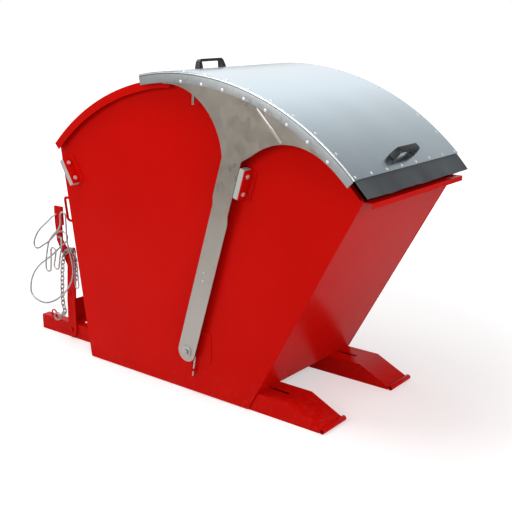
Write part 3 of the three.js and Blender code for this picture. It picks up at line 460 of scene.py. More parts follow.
@dataclass(frozen=True)
class ArmFinish(ZincFinish):
    """Rolled plate that is paler and greyer towards its foot.

    Attributes:
        foot: Linear colour of the foot.
        foot_range: Heights at which that colour is full and gone, in metres.
    """

    foot: Colour = (0.51, 0.50, 0.475)
    foot_range: tuple[float, float] = (0.25, 0.95)

    def sheet(self, graph: Graph, place: Socket, share: Socket) -> Socket:
        """The plate's colour, with its paler foot."""
        low = graph.spread(graph.axis(place, "Z"), *self.foot_range, 1.0, 0.0)
        return graph.blend(low, super().sheet(graph, place, share), self.foot)


@dataclass(frozen=True)
class PaintedLightFoldFinish(ZincFinish):
    """Folded sheet with a painted highlight along its bend and a painted shadow in the gap under it.

    Attributes:
        fold: Linear colour of the painted highlight along the bend.
        seam: Linear colour of the painted shadow in the gap under the bend.
        seam_radius: Distance of the painted shadow line from the lid's pivot, in metres; the painted
            highlight lies just beyond it.
        seam_width: Width of the painted shadow line, in metres; it also sets where the painted highlight
            starts and ends.
    """

    # Painted highlight and painted shadow colours: light on the bend and shade in the gap under it, put into
    # the sheet's colour.
    fold: Colour = (0.95, 0.97, 0.98)
    seam: Colour = (0.16, 0.17, 0.18)
    seam_radius: float = 1.3225
    seam_width: float = 0.005

    def sheet(self, graph: Graph, place: Socket, share: Socket) -> Socket:
        """The sheet's colour, with a painted shadow line and a painted highlight beside it, placed by their
        distance from the pivot.

        Args:
            graph: The material's graph.
            place: The object coordinates.
            share: Share of the second colour.

        Returns:
            The colour's socket.
        """
        aside = graph.add("VectorMath", operation="MULTIPLY_ADD")
        graph.wire(place, aside.inputs[0])
        aside.inputs[1].default_value = (1.0, 0.0, 1.0)
        aside.inputs[2].default_value = -PIVOT
        reach = graph.add("VectorMath", operation="LENGTH")
        graph.wire(aside.outputs[0], reach.inputs[0])
        away = reach.outputs["Value"]
        # Painted shadow ramps in just inside seam_radius, and the painted highlight just beyond it.
        half = self.seam_width / 2
        shadow_share = graph.spread(away, self.seam_radius - half, self.seam_radius)
        highlight_share = graph.spread(away, self.seam_radius + half, self.seam_radius + self.seam_width)
        shadowed = graph.blend(shadow_share, super().sheet(graph, place, share), self.seam)
        return graph.blend(highlight_share, shadowed, self.fold)


RED = PaintFinish("sprayed_red_paint", (0.58, 0.0045, 0.0025), (0.52, 0.0035, 0.002), 0.22, grain=700.0,
                  relief=0.0001, specular=0.06, reflection=(1.0, 0.3, 0.25))
LID_ZINC = ZincFinish("galvanised_lid_sheet", (0.64, 0.77, 0.85), (0.78, 0.88, 0.95), 0.20, contrast=0.2,
                      grain=600.0, relief=0.00002)
# This finish paints a highlight along the lid edge's bend and a shadow under it.
EDGE_ZINC = PaintedLightFoldFinish("galvanised_lid_edge", (0.43, 0.45, 0.455), (0.53, 0.555, 0.56), 0.30, contrast=0.2,
                       grain=900.0, relief=0.00005)
ARM_ZINC = ArmFinish("rolled_arm_plate", (0.37, 0.325, 0.275), (0.50, 0.455, 0.40), 0.30, crystal=25.0,
                     contrast=0.25, grain=900.0, relief=0.00005)
# A paler copy of the arm plate's finish: the rib's lighter tone is a painted highlight.
RIB_HIGHLIGHT_ZINC = ZincFinish("galvanised_rib", (0.47, 0.44, 0.41), (0.60, 0.57, 0.53), 0.34, grain=900.0,
                      relief=0.00005)
RIVET = Finish("aluminium_rivet", (0.86, 0.87, 0.87), (0.74, 0.75, 0.75), 0.38, metallic=0.55, grain=1500.0,
               relief=0.00003)
BRIGHT = Finish("zinc_plated_fastener", (0.60, 0.60, 0.58), (0.48, 0.48, 0.47), 0.26, metallic=1.0,
                grain=1500.0, relief=0.00005)
CHAIN_STEEL = Finish("chain_steel", (0.58, 0.59, 0.59), (0.36, 0.37, 0.37), 0.26, metallic=0.85, grain=1200.0,
                     relief=0.0001)
WIRE = Finish("rope_wire", (0.56, 0.57, 0.56), (0.36, 0.37, 0.37), 0.32, metallic=0.7, grain=2500.0,
              relief=0.00008)
BUFFER = Finish("buffer_rubber", (0.47, 0.48, 0.46), (0.40, 0.41, 0.39), 0.55, grain=900.0, relief=0.0001)
PLASTIC = Finish("moulded_black_plastic", (0.014, 0.015, 0.017), (0.022, 0.023, 0.026), 0.42, grain=1800.0,
                 relief=0.00012)
RUBBER = Finish("sheet_rubber", (0.046, 0.053, 0.058), (0.072, 0.080, 0.086), 0.5, grain=1100.0,
                relief=0.00015)


@cache
def material_of(finish: Finish) -> bpy.types.Material:
    """A finish's material, made at the first call."""
    return finish.build()


def deselect() -> None:
    """Leaves object mode with nothing selected."""
    if bpy.context.object and bpy.context.object.mode != "OBJECT":
        bpy.ops.object.mode_set(mode="OBJECT")
    bpy.ops.object.select_all(action="DESELECT")


def only(piece: Piece) -> None:
    """Selects one object and makes it active.

    Args:
        piece: The object.
    """
    deselect()
    piece.select_set(True)
    bpy.context.view_layer.objects.active = piece


@contextmanager
def editing(piece: Piece) -> Iterator[None]:
    """Edits an object's mesh, with all of it selected.

    Args:
        piece: The object.

    Returns:
        The context in which its mesh is edited.
    """
    only(piece)
    bpy.ops.object.mode_set(mode="EDIT")
    bpy.ops.mesh.select_all(action="SELECT")
    yield
    bpy.ops.object.mode_set(mode="OBJECT")


def bisect(place: Vector, normal: Vector, **settings: bool) -> None:
    """Cuts the whole mesh being edited along a plane."""
    bpy.ops.mesh.select_all(action="SELECT")
    bpy.ops.mesh.bisect(plane_co=place, plane_no=normal, **settings)


def apply_place(piece: Piece) -> None:
    """Applies an object's place, turn and scale to its mesh."""
    only(piece)
    bpy.ops.object.transform_apply(location=True, rotation=True, scale=True)


def apply_modifier(piece: Piece, kind: str, **settings: object) -> None:
    """Adds a modifier and applies it.

    Args:
        piece: The object.
        kind: The modifier's type.
        settings: Its settings.
    """
    only(piece)
    modifier = piece.modifiers.new(kind.lower(), kind)
    for key, value in settings.items():
        setattr(modifier, key, value)
    bpy.ops.object.modifier_apply(modifier=modifier.name)


def combine(piece: Piece, tool: Piece, operation: str) -> None:
    """Cuts, joins or intersects an object with a tool, and removes the tool."""
    apply_modifier(piece, "BOOLEAN", operation=operation, object=tool, solver="EXACT")
    bpy.data.objects.remove(tool)


def smooth(piece: Piece, angle: float) -> None:
    """Shades an object smooth where its faces meet at less than an angle in degrees."""
    only(piece)
    bpy.ops.object.shade_smooth_by_angle(angle=radians(angle))


def round_edges(piece: Piece, width: float, segments: int = 2, angle: float = 30.0) -> None:
    """Rounds an object's sharp edges and shades it smooth.

    Args:
        piece: The object.
        width: Width of the rounding in metres.
        segments: Rings of the rounding.
        angle: Edges sharper than this are rounded, in degrees.
    """
    apply_modifier(piece, "BEVEL", width=width, segments=segments, limit_method="ANGLE",
                   angle_limit=radians(angle), harden_normals=False)
    smooth(piece, 35.0)


def even_normals(piece: Piece) -> None:
    """Lets flat faces keep their own shading beside rounded edges."""
    apply_modifier(piece, "WEIGHTED_NORMAL", keep_sharp=True)


def outward(piece: Piece, merge: float = 0.00001) -> None:
    """Merges an object's doubles and turns its faces outwards."""
    with editing(piece):
        bpy.ops.mesh.remove_doubles(threshold=merge)
        bpy.ops.mesh.normals_make_consistent(inside=False)


def linked(name: str, data: bpy.types.ID) -> Piece:
    """Puts data in the scene as an object.

    Args:
        name: The object's name.
        data: The mesh, curve, lamp or camera.

    Returns:
        The object.
    """
    piece = bpy.data.objects.new(name, data)
    bpy.context.collection.objects.link(piece)
    return piece


def box(name: str, low: Point, high: Point, rounding: float = 0.0) -> Piece:
    """A block between two corners.

    Args:
        name: The object's name.
        low: Its lowest corner.
        high: Its highest corner.
        rounding: Width of its rounded edges.

    Returns:
        The object.
    """
    deselect()
    middle = [(a + b) / 2 for a, b in zip(low, high)]
    bpy.ops.mesh.primitive_cube_add(size=1.0, location=middle)
    piece = bpy.context.object
    piece.name = name
    piece.scale = [b - a for a, b in zip(low, high)]
    apply_place(piece)
    if rounding:
        round_edges(piece, rounding)
    return piece


def cylinder(name: str, start: Vector, end: Vector, radius: float,
             sides: int = 24, rounding: float = 0.0) -> Piece:
    """A round or many-sided bar between two points.

    Args:
        name: The object's name.
        start: Middle of one end.
        end: Middle of the other end.
        radius: Its radius.
        sides: Its number of sides.
        rounding: Width of its rounded edges.

    Returns:
        The object.
    """
    deselect()
    run = end - start
    turn = run.to_track_quat("Z", "Y").to_euler()
    bpy.ops.mesh.primitive_cylinder_add(vertices=sides, radius=radius, depth=run.length,
                                        location=(start + end) / 2, rotation=turn)
    piece = bpy.context.object
    piece.name = name
    apply_place(piece)
    if rounding:
        round_edges(piece, rounding)
    return piece


def outline(corners: Sequence[Vector]) -> Piece:
    """A flat face with its corners at some points.

    Args:
        corners: The points, in order.

    Returns:
        The face, as an object.
    """
    deselect()
    bpy.ops.mesh.primitive_circle_add(vertices=len(corners), radius=1.0, fill_type="NGON")
    piece = bpy.context.object
    for corner, place in zip(piece.data.vertices, corners):
        corner.co = place
    return piece


def joined(name: str, pieces: Sequence[Piece]) -> Piece:
    """Joins objects into one of a new name.

    Args:
        name: The new name.
        pieces: The objects.

    Returns:
        The joined object.
    """
    deselect()
    for piece in pieces:
        piece.select_set(True)
    bpy.context.view_layer.objects.active = pieces[0]
    bpy.ops.object.join()
    whole = bpy.context.object
    whole.name = name
    return whole


def copies(model: Piece, places: Iterable[Matrix]) -> list[Piece]:
    """Copies a model to several places, and removes the model.

    Args:
        model: The model.
        places: The copies' places.

    Returns:
        The copies.
    """
    made = []
    for place in places:
        copy = model.copy()
        copy.data = model.data.copy()
        bpy.context.collection.objects.link(copy)
        copy.data.transform(place)
        made.append(copy)
    bpy.data.objects.remove(model)
    return made


def tube(name: str, points: Sequence[Vector], radius: float, sides: int = 4, closed: bool = False) -> Piece:
    """A bar along a line of points, by a bevelled curve made a mesh.

    Args:
        name: The object's name.
        points: The line's points.
        radius: The bar's radius.
        sides: Bevel resolution of the curve.
        closed: True for a ring.

    Returns:
        The object.
    """
    deselect()
    curve = bpy.data.curves.new(name, "CURVE")
    curve.dimensions = "3D"
    curve.bevel_depth = radius
    curve.bevel_resolution = sides
    curve.use_fill_caps = not closed
    spline = curve.splines.new("POLY")
    spline.points.add(len(points) - 1)
    for slot, point in zip(spline.points, points):
        slot.co = (*point, 1.0)
    spline.use_cyclic_u = closed
    only(linked(name, curve))
    bpy.ops.object.convert(target="MESH")
    piece = bpy.context.object
    outward(piece)
    smooth(piece, 40.0)
    return piece


def ring(name: str, middle: Vector, axis: Vector, radius: float,
         count: int, wire: float, sides: int) -> Piece:
    """A round ring of wire.

    Args:
        name: The object's name.
        middle: Its middle.
        axis: Its axis, of length one.
        radius: Radius of the wire's centreline.
        count: Number of points.
        wire: Radius of the wire.
        sides: Bevel resolution of the wire.

    Returns:
        The object.
    """
    first = axis.orthogonal().normalized()
    second = axis.cross(first)
    turns = [2 * pi * step / count for step in range(count)]
    points = [middle + (first * cos(turn) + second * sin(turn)) * radius for turn in turns]
    return tube(name, points, wire, sides, True)


def rounded_line(places: Sequence[Vector], corner: float, steps: int = 8) -> list[Vector]:
    """Straight runs joined by rounded corners.

    Args:
        places: The corners, with both ends.
        corner: Distance from each corner at which its bend starts.
        steps: Points in each bend.

    Returns:
        The line's points.
    """
    line = [places[0]]
    for before, here, after in zip(places, places[1:], places[2:]):
        first = here.lerp(before, corner / (before - here).length)
        last = here.lerp(after, corner / (after - here).length)
        for step in range(steps + 1):
            share = step / steps
            line.append(first.lerp(here, share).lerp(here.lerp(last, share), share))
    line.append(places[-1])
    return line


def on_round(turn: float, radius: float, y: float = 0.0) -> Vector:
    """A point of the lid's round, at an angle forward of straight up and a distance from the pivot."""
    return Vector((PIVOT_X + radius * sin(turn), y, PIVOT_Z + radius * cos(turn)))


def round_sweep(name: str, profile: Sequence[tuple[float, float]],
                start: float, end: float, steps: int) -> Piece:
    """Spins a closed profile about the lid's pivot.

    Args:
        name: The object's name.
        profile: Corners as distance from the pivot and place across.
        start: First angle forward of straight up, in radians.
        end: Last angle.
        steps: Steps of the spin.

    Returns:
        The object, closed at both ends.
    """
    piece = outline([on_round(start, radius, y) for radius, y in profile])
    piece.name = name
    with editing(piece):
        bpy.ops.mesh.spin(steps=steps, angle=end - start, center=PIVOT, axis=-ACROSS)
    mesh = bmesh.new()
    mesh.from_mesh(piece.data)
    edges = [edge for edge in mesh.edges if edge.is_boundary]
    if edges:
        bmesh.ops.contextual_create(mesh, geom=edges)
    mesh.to_mesh(piece.data)
    mesh.free()
    outward(piece)
    return piece


def node_copy(node: str, name: str, rounding: float, segments: int = 2) -> Piece:
    """A merged copy of a CAD node with its edges rounded.

    Args:
        node: The CAD node's name.
        name: The copy's name.
        rounding: Width of the rounded edges, or zero.
        segments: Rings of the rounding.

    Returns:
        The copy.
    """
    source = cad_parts[node]
    deselect()
    copy = linked(name, source.data.copy())
    copy.data.materials.clear()
    copy.matrix_world = source.matrix_world
    outward(copy, CAD_MERGE)
    with editing(copy):
        bpy.ops.mesh.dissolve_limited(angle_limit=CAD_FLAT)
    if rounding:
        round_edges(copy, rounding, segments)
        even_normals(copy)
    return copy


def turned_node(node: str) -> tuple[Vector, Vector, float]:
    """Measures a round CAD node that lies across.

    Args:
        node: The node's name.

    Returns:
        The middles of its near and far end, and its radius.
    """
    low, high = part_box(node)
    x, z = (low[0] + high[0]) / 2, (low[2] + high[2]) / 2
    return Vector((x, low[1], z)), Vector((x, high[1], z)), (high[0] - low[0]) / 2


def rivet_model(name: str, radius: float, rise: float) -> Piece:
    """A domed rivet head at the origin, standing on the XY plane.

    Args:
        name: The object's name.
        radius: Its radius.
        rise: Its height.

    Returns:
        The object.
    """
    deselect()
    bpy.ops.mesh.primitive_uv_sphere_add(segments=16, ring_count=10, radius=1.0)
    piece = bpy.context.object
    piece.name = name
    with editing(piece):
        bisect(Vector(), UPRIGHT, clear_inner=True, use_fill=True)
    piece.data.transform(Matrix.Diagonal((radius, radius, rise, 1.0)))
    smooth(piece, 50.0)
    return piece


def hex_bolt(name: str, radius: float, height: float) -> Piece:
    """A hexagon head at the origin, standing along +Z, with its top corners turned off.

    Args:
        name: The object's name.
        radius: Radius over the corners.
        height: Height of the head.

    Returns:
        The object.
    """
    top = UPRIGHT * height
    head = cylinder(name, Vector(), top, radius, 6)
    trim = cylinder(f"{name}_trim", -top, top, radius * HEX_TOP_SHARE, 32)
    for corner in trim.data.vertices:
        if corner.co.z < 0:
            corner.co.x *= HEX_TRIM_FLARE
            corner.co.y *= HEX_TRIM_FLARE
    combine(head, trim, "INTERSECT")
    round_edges(head, height * HEX_ROUNDING_SHARE)
    return head


def weld_bead(name: str, start: Vector, end: Vector, radius: float) -> Piece:
    """A weld seam with fine ripples.

    Args:
        name: The object's name.
        start: One end.
        end: The other end.
        radius: Its radius.

    Returns:
        The object.
    """
    steps = max(4, int((end - start).length / WELD_RIPPLE))
    bead = tube(name, [start.lerp(end, step / steps) for step in range(steps + 1)], radius, 1)
    direction = (end - start).normalized()
    for corner in bead.data.vertices:
        along = (corner.co - start).dot(direction)
        middle = start + direction * along
        swell = 1.0 + WELD_DEPTH_SHARE * sin(along / WELD_RIPPLE * pi * WELD_BEAT)
        corner.co = middle + (corner.co - middle) * swell
    return bead


def smooth_line(points: Sequence[Vector], spacing: float) -> list[Vector]:
    """Evenly spaced points of the centripetal Catmull-Rom curve through some points.

    Args:
        points: The points that the curve goes through.
        spacing: Wanted distance between the points returned.

    Returns:
        The points, with both ends.
    """
    steps = 40
    padded = [points[0] * 2 - points[1], *points, points[-1] * 2 - points[-2]]
    fine: list[Vector] = []
    for a, b, c, d in zip(padded, padded[1:], padded[2:], padded[3:]):
        before, here, after = (sqrt((q - p).length) for p, q in ((a, b), (b, c), (c, d)))
        leave = ((b - a) / before - (c - a) / (before + here) + (c - b) / here) * here
        arrive = ((c - b) / here - (d - b) / (here + after) + (d - c) / after) * here
        for step in range(steps):
            t = step / steps
            fine.append(b + leave * t + ((c - b) * 3 - leave * 2 - arrive) * t ** 2
                        + ((b - c) * 2 + leave + arrive) * t ** 3)
    fine.append(points[-1].copy())
    runs = [0.0]
    for p, q in zip(fine, fine[1:]):
        runs.append(runs[-1] + (q - p).length)
    count = max(2, round(runs[-1] / spacing))
    line = []
    place = 0
    for step in range(count + 1):
        goal = runs[-1] * step / count
        while place < len(runs) - 2 and runs[place + 1] < goal:
            place += 1
        share = (goal - runs[place]) / (runs[place + 1] - runs[place])
        line.append(fine[place].lerp(fine[place + 1], min(1.0, share)))
    return line


class SubAssembly:
    """The pieces that ride on one body."""

    body: Body

    def add(self, piece: Piece, finish: Finish, slot: Slot, *nodes: str) -> None:
        """Gives a piece its finish and body, and hides the CAD nodes that it stands for.

        Args:
            piece: The object.
            finish: Its finish.
            slot: Its material slot; not used.
            nodes: The CAD nodes that it replaces.
        """
        apply_place(piece)
        piece.data.materials.clear()
        piece.data.materials.append(material_of(finish))
        for polygon in piece.data.polygons:
            polygon.material_index = 0
        if nodes:
            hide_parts(*nodes)
        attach(piece, self.body.value)
        log.info("%s: %d faces", piece.name, len(piece.data.polygons))

    def dress(self, node: str, name: str, finish: Finish, slot: Slot,
              rounding: float, segments: int = 2) -> None:
        """Adds a CAD node's own shape with rounded edges.

        Args:
            node: The CAD node.
            name: The piece's name.
            finish: Its finish.
            slot: Its material slot; passed on, but not used.
            rounding: Width of its rounded edges.
            segments: Rings of the rounding.
        """
        self.add(node_copy(node, name, rounding, segments), finish, slot, node)

    def paint(self, rounding: float, segments: int, *nodes: str) -> None:
        """Dresses CAD nodes in red paint, with edges rounded by a width in a number of rings."""
        for node in nodes:
            self.dress(node, f"{node}_painted", RED, Slot.RED, rounding, segments)


def both_sides(*stems: str) -> list[str]:
    """The near and the far node's name of each pair."""
    return [f"{stem}_{side.word}" for stem in stems for side in Side]


@dataclass
class Lid(SubAssembly):
    """The round galvanised lid with its edges, arms, handles and mouth flap."""

    body = Body.LID

    crown: float = 1.333
    sheet: float = 0.002
    half_width: float = 0.454
    rear: float = radians(-10.8)
    front: float = radians(44.6)
    sheet_columns: int = 24
    sheet_steps: int = 96
    sheet_rounding: float = 0.0006
    sag: float = 0.0010
    ripple: float = 0.0006
    ripple_across: float = 17.0
    ripple_phase: float = 1.1
    ripple_round: float = 9.0
    edge_depth: float = 0.050
    edge_sheet: float = 0.002
    edge_bend: float = 0.004
    edge_break: float = 0.002
    edge_steps: int = 80
    edge_rounding: float = 0.0005
    ledge: float = 0.026
    seat: float = 0.0003
    setback: float = 0.014
    rivet_radius: float = 0.0075
    rivet_rise: float = 0.0033
    rivet_inset: float = 0.024
    rivet_sink: float = 0.0012
    rivet_pitches: int = 10
    front_rivets: int = 8
    front_rivet_inset: float = 0.018
    flange_rivet_radius: float = 1.290
    flange_rivet_sink: float = 0.0004
    handle_front: float = radians(41.9)
    handle_rear: float = radians(-8.7)
    handle_length: float = 0.208
    handle_top: float = 0.172
    handle_rise: float = 0.048
    handle_width: float = 0.030
    handle_grip: float = 0.013
    handle_foot: float = 0.034
    handle_seat: float = 0.0004
    handle_step: float = 0.010
    handle_draft: float = 0.002
    handle_shoulder: float = 0.004
    handle_crest: float = 0.008
    handle_rounding: float = 0.004
    screw_radius: float = 0.0052
    screw_rise: float = 0.0026
    screw_inset: float = 0.008
    screw_height: float = 0.0085
    screw_lean: float = radians(38)
    rib_rear: Point = (0.6036, 0.0, 1.4204)
    rib_front: Point = (0.7354, 0.0, 1.2856)
    rib_width: float = 0.0138
    rib_rise: float = 0.0022
    rib_sink: float = 0.001
    rib_rounding: float = 0.0009
    arm_rounding: float = 0.0006
    lug_rounding: float = 0.001
    clamp_rounding: float = 0.0008
    arm_face: float = 0.4379
    arm_rivet_radius: float = 0.0036
    arm_rivet_rise: float = 0.0016
    arm_rivets_at: tuple[tuple[float, float], ...] = ((0.279, 0.641), (0.272, 0.600))
    flap_reach: float = 0.085
    flap_grid: float = 0.03
    flap_row: float = 0.0095
    flap_rounding: float = 0.0008
    flap_drop: float = 0.0048
    flap_curl: float = 1.4
    flap_waves: tuple[Point, ...] = ((0.0030, 21.0, 0.6), (0.0018, 47.0, 0.0))

    def build(self) -> None:
        """Builds every piece of the lid."""
        self.sheet_metal()
        for side in Side:
            self.edge(side)
        for side in Side:
            word = side.word
            self.dress(f"lid_arm_{word}", f"lid_arm_plate_{word}", ARM_ZINC, Slot.ZINC, self.arm_rounding)
            self.rib(side)
            self.arm_rivets(side)
            self.dress(f"stop_lug_{word}", f"lid_stop_lug_{word}", ARM_ZINC, Slot.ZINC, self.lug_rounding)
        self.rivets()
        self.handle("front", self.handle_front)
        self.handle("rear", self.handle_rear)
        self.flap()

    def sheet_metal(self) -> None:
        """Spins the lid's sheet and lets it sag a little between its edges."""
        columns = self.sheet_columns
        places = [self.half_width * (1 - 2 * step / columns) for step in range(columns + 1)]
        profile = [(self.crown - self.sheet, y) for y in places] + [(self.crown, -y) for y in places]
        piece = round_sweep("lid_skin", profile, self.rear, self.front, self.sheet_steps)
        for corner in piece.data.vertices:
            place = corner.co - PIVOT
            turn = atan2(place.x, place.z)
            round_share = (turn - self.rear) / (self.front - self.rear)
            share = (1 - (place.y / self.half_width) ** 2) * sin(pi * round_share)
            ripple = (self.ripple * sin(place.y * self.ripple_across + self.ripple_phase)
                      * sin(turn * self.ripple_round))
            wave = self.sag * share + ripple * share
            shrink = 1 - wave / self.crown
            corner.co = PIVOT + Vector((place.x * shrink, place.y, place.z * shrink))
        round_edges(piece, self.sheet_rounding)
        even_normals(piece)
        self.add(piece, LID_ZINC, Slot.ZINC, "lid_sheet")

    def edge(self, side: Side) -> None:
        """Spins the folded edge under one side of the sheet.

        Args:
            side: The side of the hopper.
        """
        top = self.crown - self.sheet - self.seat
        under = top - self.edge_sheet
        foot = self.crown - self.edge_depth
        inner = self.half_width - self.edge_sheet
        profile = [(foot, self.half_width)]
        for degrees in range(0, 91, 15):
            turn = radians(degrees)
            profile.append((top - self.edge_bend * (1 - sin(turn)),
                            self.half_width - self.edge_bend * (1 - cos(turn))))
        profile += [(top, self.half_width - self.ledge), (under, self.half_width - self.ledge),
                    (under, inner - self.edge_break), (under - self.edge_break, inner), (foot, inner)]
        piece = round_sweep(f"lid_side_fold_{side.word}", [(radius, side.value * y) for radius, y in profile],
                            self.rear, self.front, self.edge_steps)
        round_edges(piece, self.edge_rounding, 1, 50)
        self.add(piece, EDGE_ZINC, Slot.ZINC, f"lid_edge_{side.word}")

    def rib(self, side: Side) -> None:
        """Lays the pressed rib on one arm's fan, in a paler finish than the arm that paints a highlight along
        it.

        Args:
            side: The side of the hopper.
        """
        rear = Vector(self.rib_rear)
        run = Vector(self.rib_front) - rear
        half = self.rib_width / 2
        face = self.half_width - self.edge_sheet - self.seat
        bar = box(f"lid_arm_rib_{side.word}", (-half, face - self.rib_sink, 0.0),
                  (half, face + self.rib_rise, run.length), self.rib_rounding)
        bar.data.transform(Matrix.Translation(rear) @ Matrix.Rotation(atan2(run.x, run.z), 4, "Y"))
        if side is Side.NEAR:
            bar.data.transform(Matrix.Diagonal((1.0, -1.0, 1.0, 1.0)))
            outward(bar)
        # The rib's paler finish is a painted highlight along it.
        self.add(bar, RIB_HIGHLIGHT_ZINC, Slot.ZINC)

    def aside(self, side: Side, place: Vector) -> Matrix:
        """Matrix that stands a model outwards on a side."""
        return Matrix.Translation(place) @ Matrix.Rotation(-side.value * pi / 2, 4, "X")

    def arm_rivets(self, side: Side) -> None:
        """Sets the two small rivets half way up one arm.

        Args:
            side: The side of the hopper.
        """
        places = [self.aside(side, Vector((x, side.value * self.arm_face, z))) for x, z in self.arm_rivets_at]
        heads = copies(rivet_model("arm_rivet", self.arm_rivet_radius, self.arm_rivet_rise), places)
        self.add(joined(f"lid_arm_rivets_{side.word}", heads), RIVET, Slot.ZINC)

    def rivets(self) -> None:
        """Sets domed rivets along both edges, down both flanges and across the front."""
        first = self.rear + self.setback / self.crown
        last = self.front - self.setback / self.crown
        turns = [first + (last - first) * step / self.rivet_pitches for step in range(self.rivet_pitches + 1)]
        radius = self.crown - self.rivet_sink
        inset = self.half_width - self.rivet_inset
        places = [self.upright(turn, side.value * inset, radius) for turn in turns[:-1] for side in Side]
        reach = self.half_width - self.front_rivet_inset
        places += [self.upright(turns[-1], reach * (2 * step / (self.front_rivets - 1) - 1), radius)
                   for step in range(self.front_rivets)]
        face = self.half_width - self.flange_rivet_sink
        places += [self.aside(side, on_round(turn, self.flange_rivet_radius, side.value * face))
                   for turn in turns[2:-1] for side in Side]
        heads = copies(rivet_model("lid_rivet", self.rivet_radius, self.rivet_rise), places)
        self.add(joined("lid_rivets", heads), RIVET, Slot.ZINC)

    def upright(self, turn: float, y: float, radius: float) -> Matrix:
        """Matrix that stands a model on the lid's round, at an angle, a place across and a distance."""
        return Matrix.Translation(on_round(turn, radius, y)) @ Matrix.Rotation(turn, 4, "Y")

    def handle(self, word: str, turn: float) -> None:
        """Moulds one bridge handle and stands it on the sheet.

        Args:
            word: Front or rear.
            turn: Its angle forward of straight up.
        """
        half = self.handle_length / 2
        top = self.handle_top / 2
        rise = self.handle_rise
        right = [(top - self.handle_grip, rise - self.handle_grip), (half - self.handle_foot, 0.0),
                 (half, 0.0), (half - self.handle_draft, self.handle_step),
                 (top + self.handle_shoulder, rise - self.handle_step), (top - self.handle_crest, rise)]
        left = [(-y, z) for y, z in reversed(right)]
        body = outline([Vector((-self.handle_width / 2, y, z)) for y, z in (*left[3:], *right, *left[:3])])
        with editing(body):
            bpy.ops.mesh.extrude_region_move(TRANSFORM_OT_translate={"value": (self.handle_width, 0.0, 0.0)})
        outward(body)
        round_edges(body, self.handle_rounding, 4, 20)
        screws = []
        for sign in (-1, 1):
            pan = rivet_model("handle_screw", self.screw_radius, self.screw_rise)
            foot = Matrix.Translation((0.0, sign * (half - self.screw_inset), self.screw_height))
            pan.data.transform(foot @ Matrix.Rotation(-sign * self.screw_lean, 4, "X"))
            screws.append(pan)
        for piece in (body, *screws):
            piece.data.transform(self.upright(turn, 0.0, self.crown + self.handle_seat))
        body.name = f"lid_grip_{word}"
        self.add(body, PLASTIC, Slot.PLASTIC, f"lid_handle_{word}")
        self.add(joined(f"lid_grip_screws_{word}", screws), BRIGHT, Slot.STEEL)

    def flap(self) -> None:
        """Hangs the rubber flap at the mouth, a little wavy, under its clamp bar."""
        piece = node_copy("mouth_flap", "mouth_rubber_flap", 0.0)
        apply_modifier(piece, "TRIANGULATE")
        along = Vector((sin(self.front + pi / 2), 0.0, cos(self.front + pi / 2)))
        down = Vector((along.z, 0.0, -along.x))
        hem = on_round(self.front, self.crown)
        with editing(piece):
            for step in range(-14, 15):
                bisect(ACROSS * (step * self.flap_grid), ACROSS)
            for step in range(1, 9):
                bisect(hem + along * (self.flap_row * step), along)
        for corner in piece.data.vertices:
            reach = max(0.0, (corner.co - hem).dot(along) / self.flap_reach)
            wave = sum(rise * sin(corner.co.y * rate + phase) for rise, rate, phase in self.flap_waves)
            corner.co += down * ((wave + self.flap_drop) * reach ** self.flap_curl)
        outward(piece, CAD_MERGE)
        round_edges(piece, self.flap_rounding, 2, 50)
        self.add(piece, RUBBER, Slot.RUBBER, "mouth_flap")
        self.dress("flap_clamp_bar", "mouth_flap_clamp", LID_ZINC, Slot.ZINC, self.clamp_rounding)


@dataclass(frozen=True)
class Stop:
    """Where a stop's folded angle stands on the side plate.

    Attributes:
        word: Front or rear.
        lean: Its lean forward of upright, in radians.
        foot: Its foot.
    """

    word: str
    lean: float
    foot: Vector


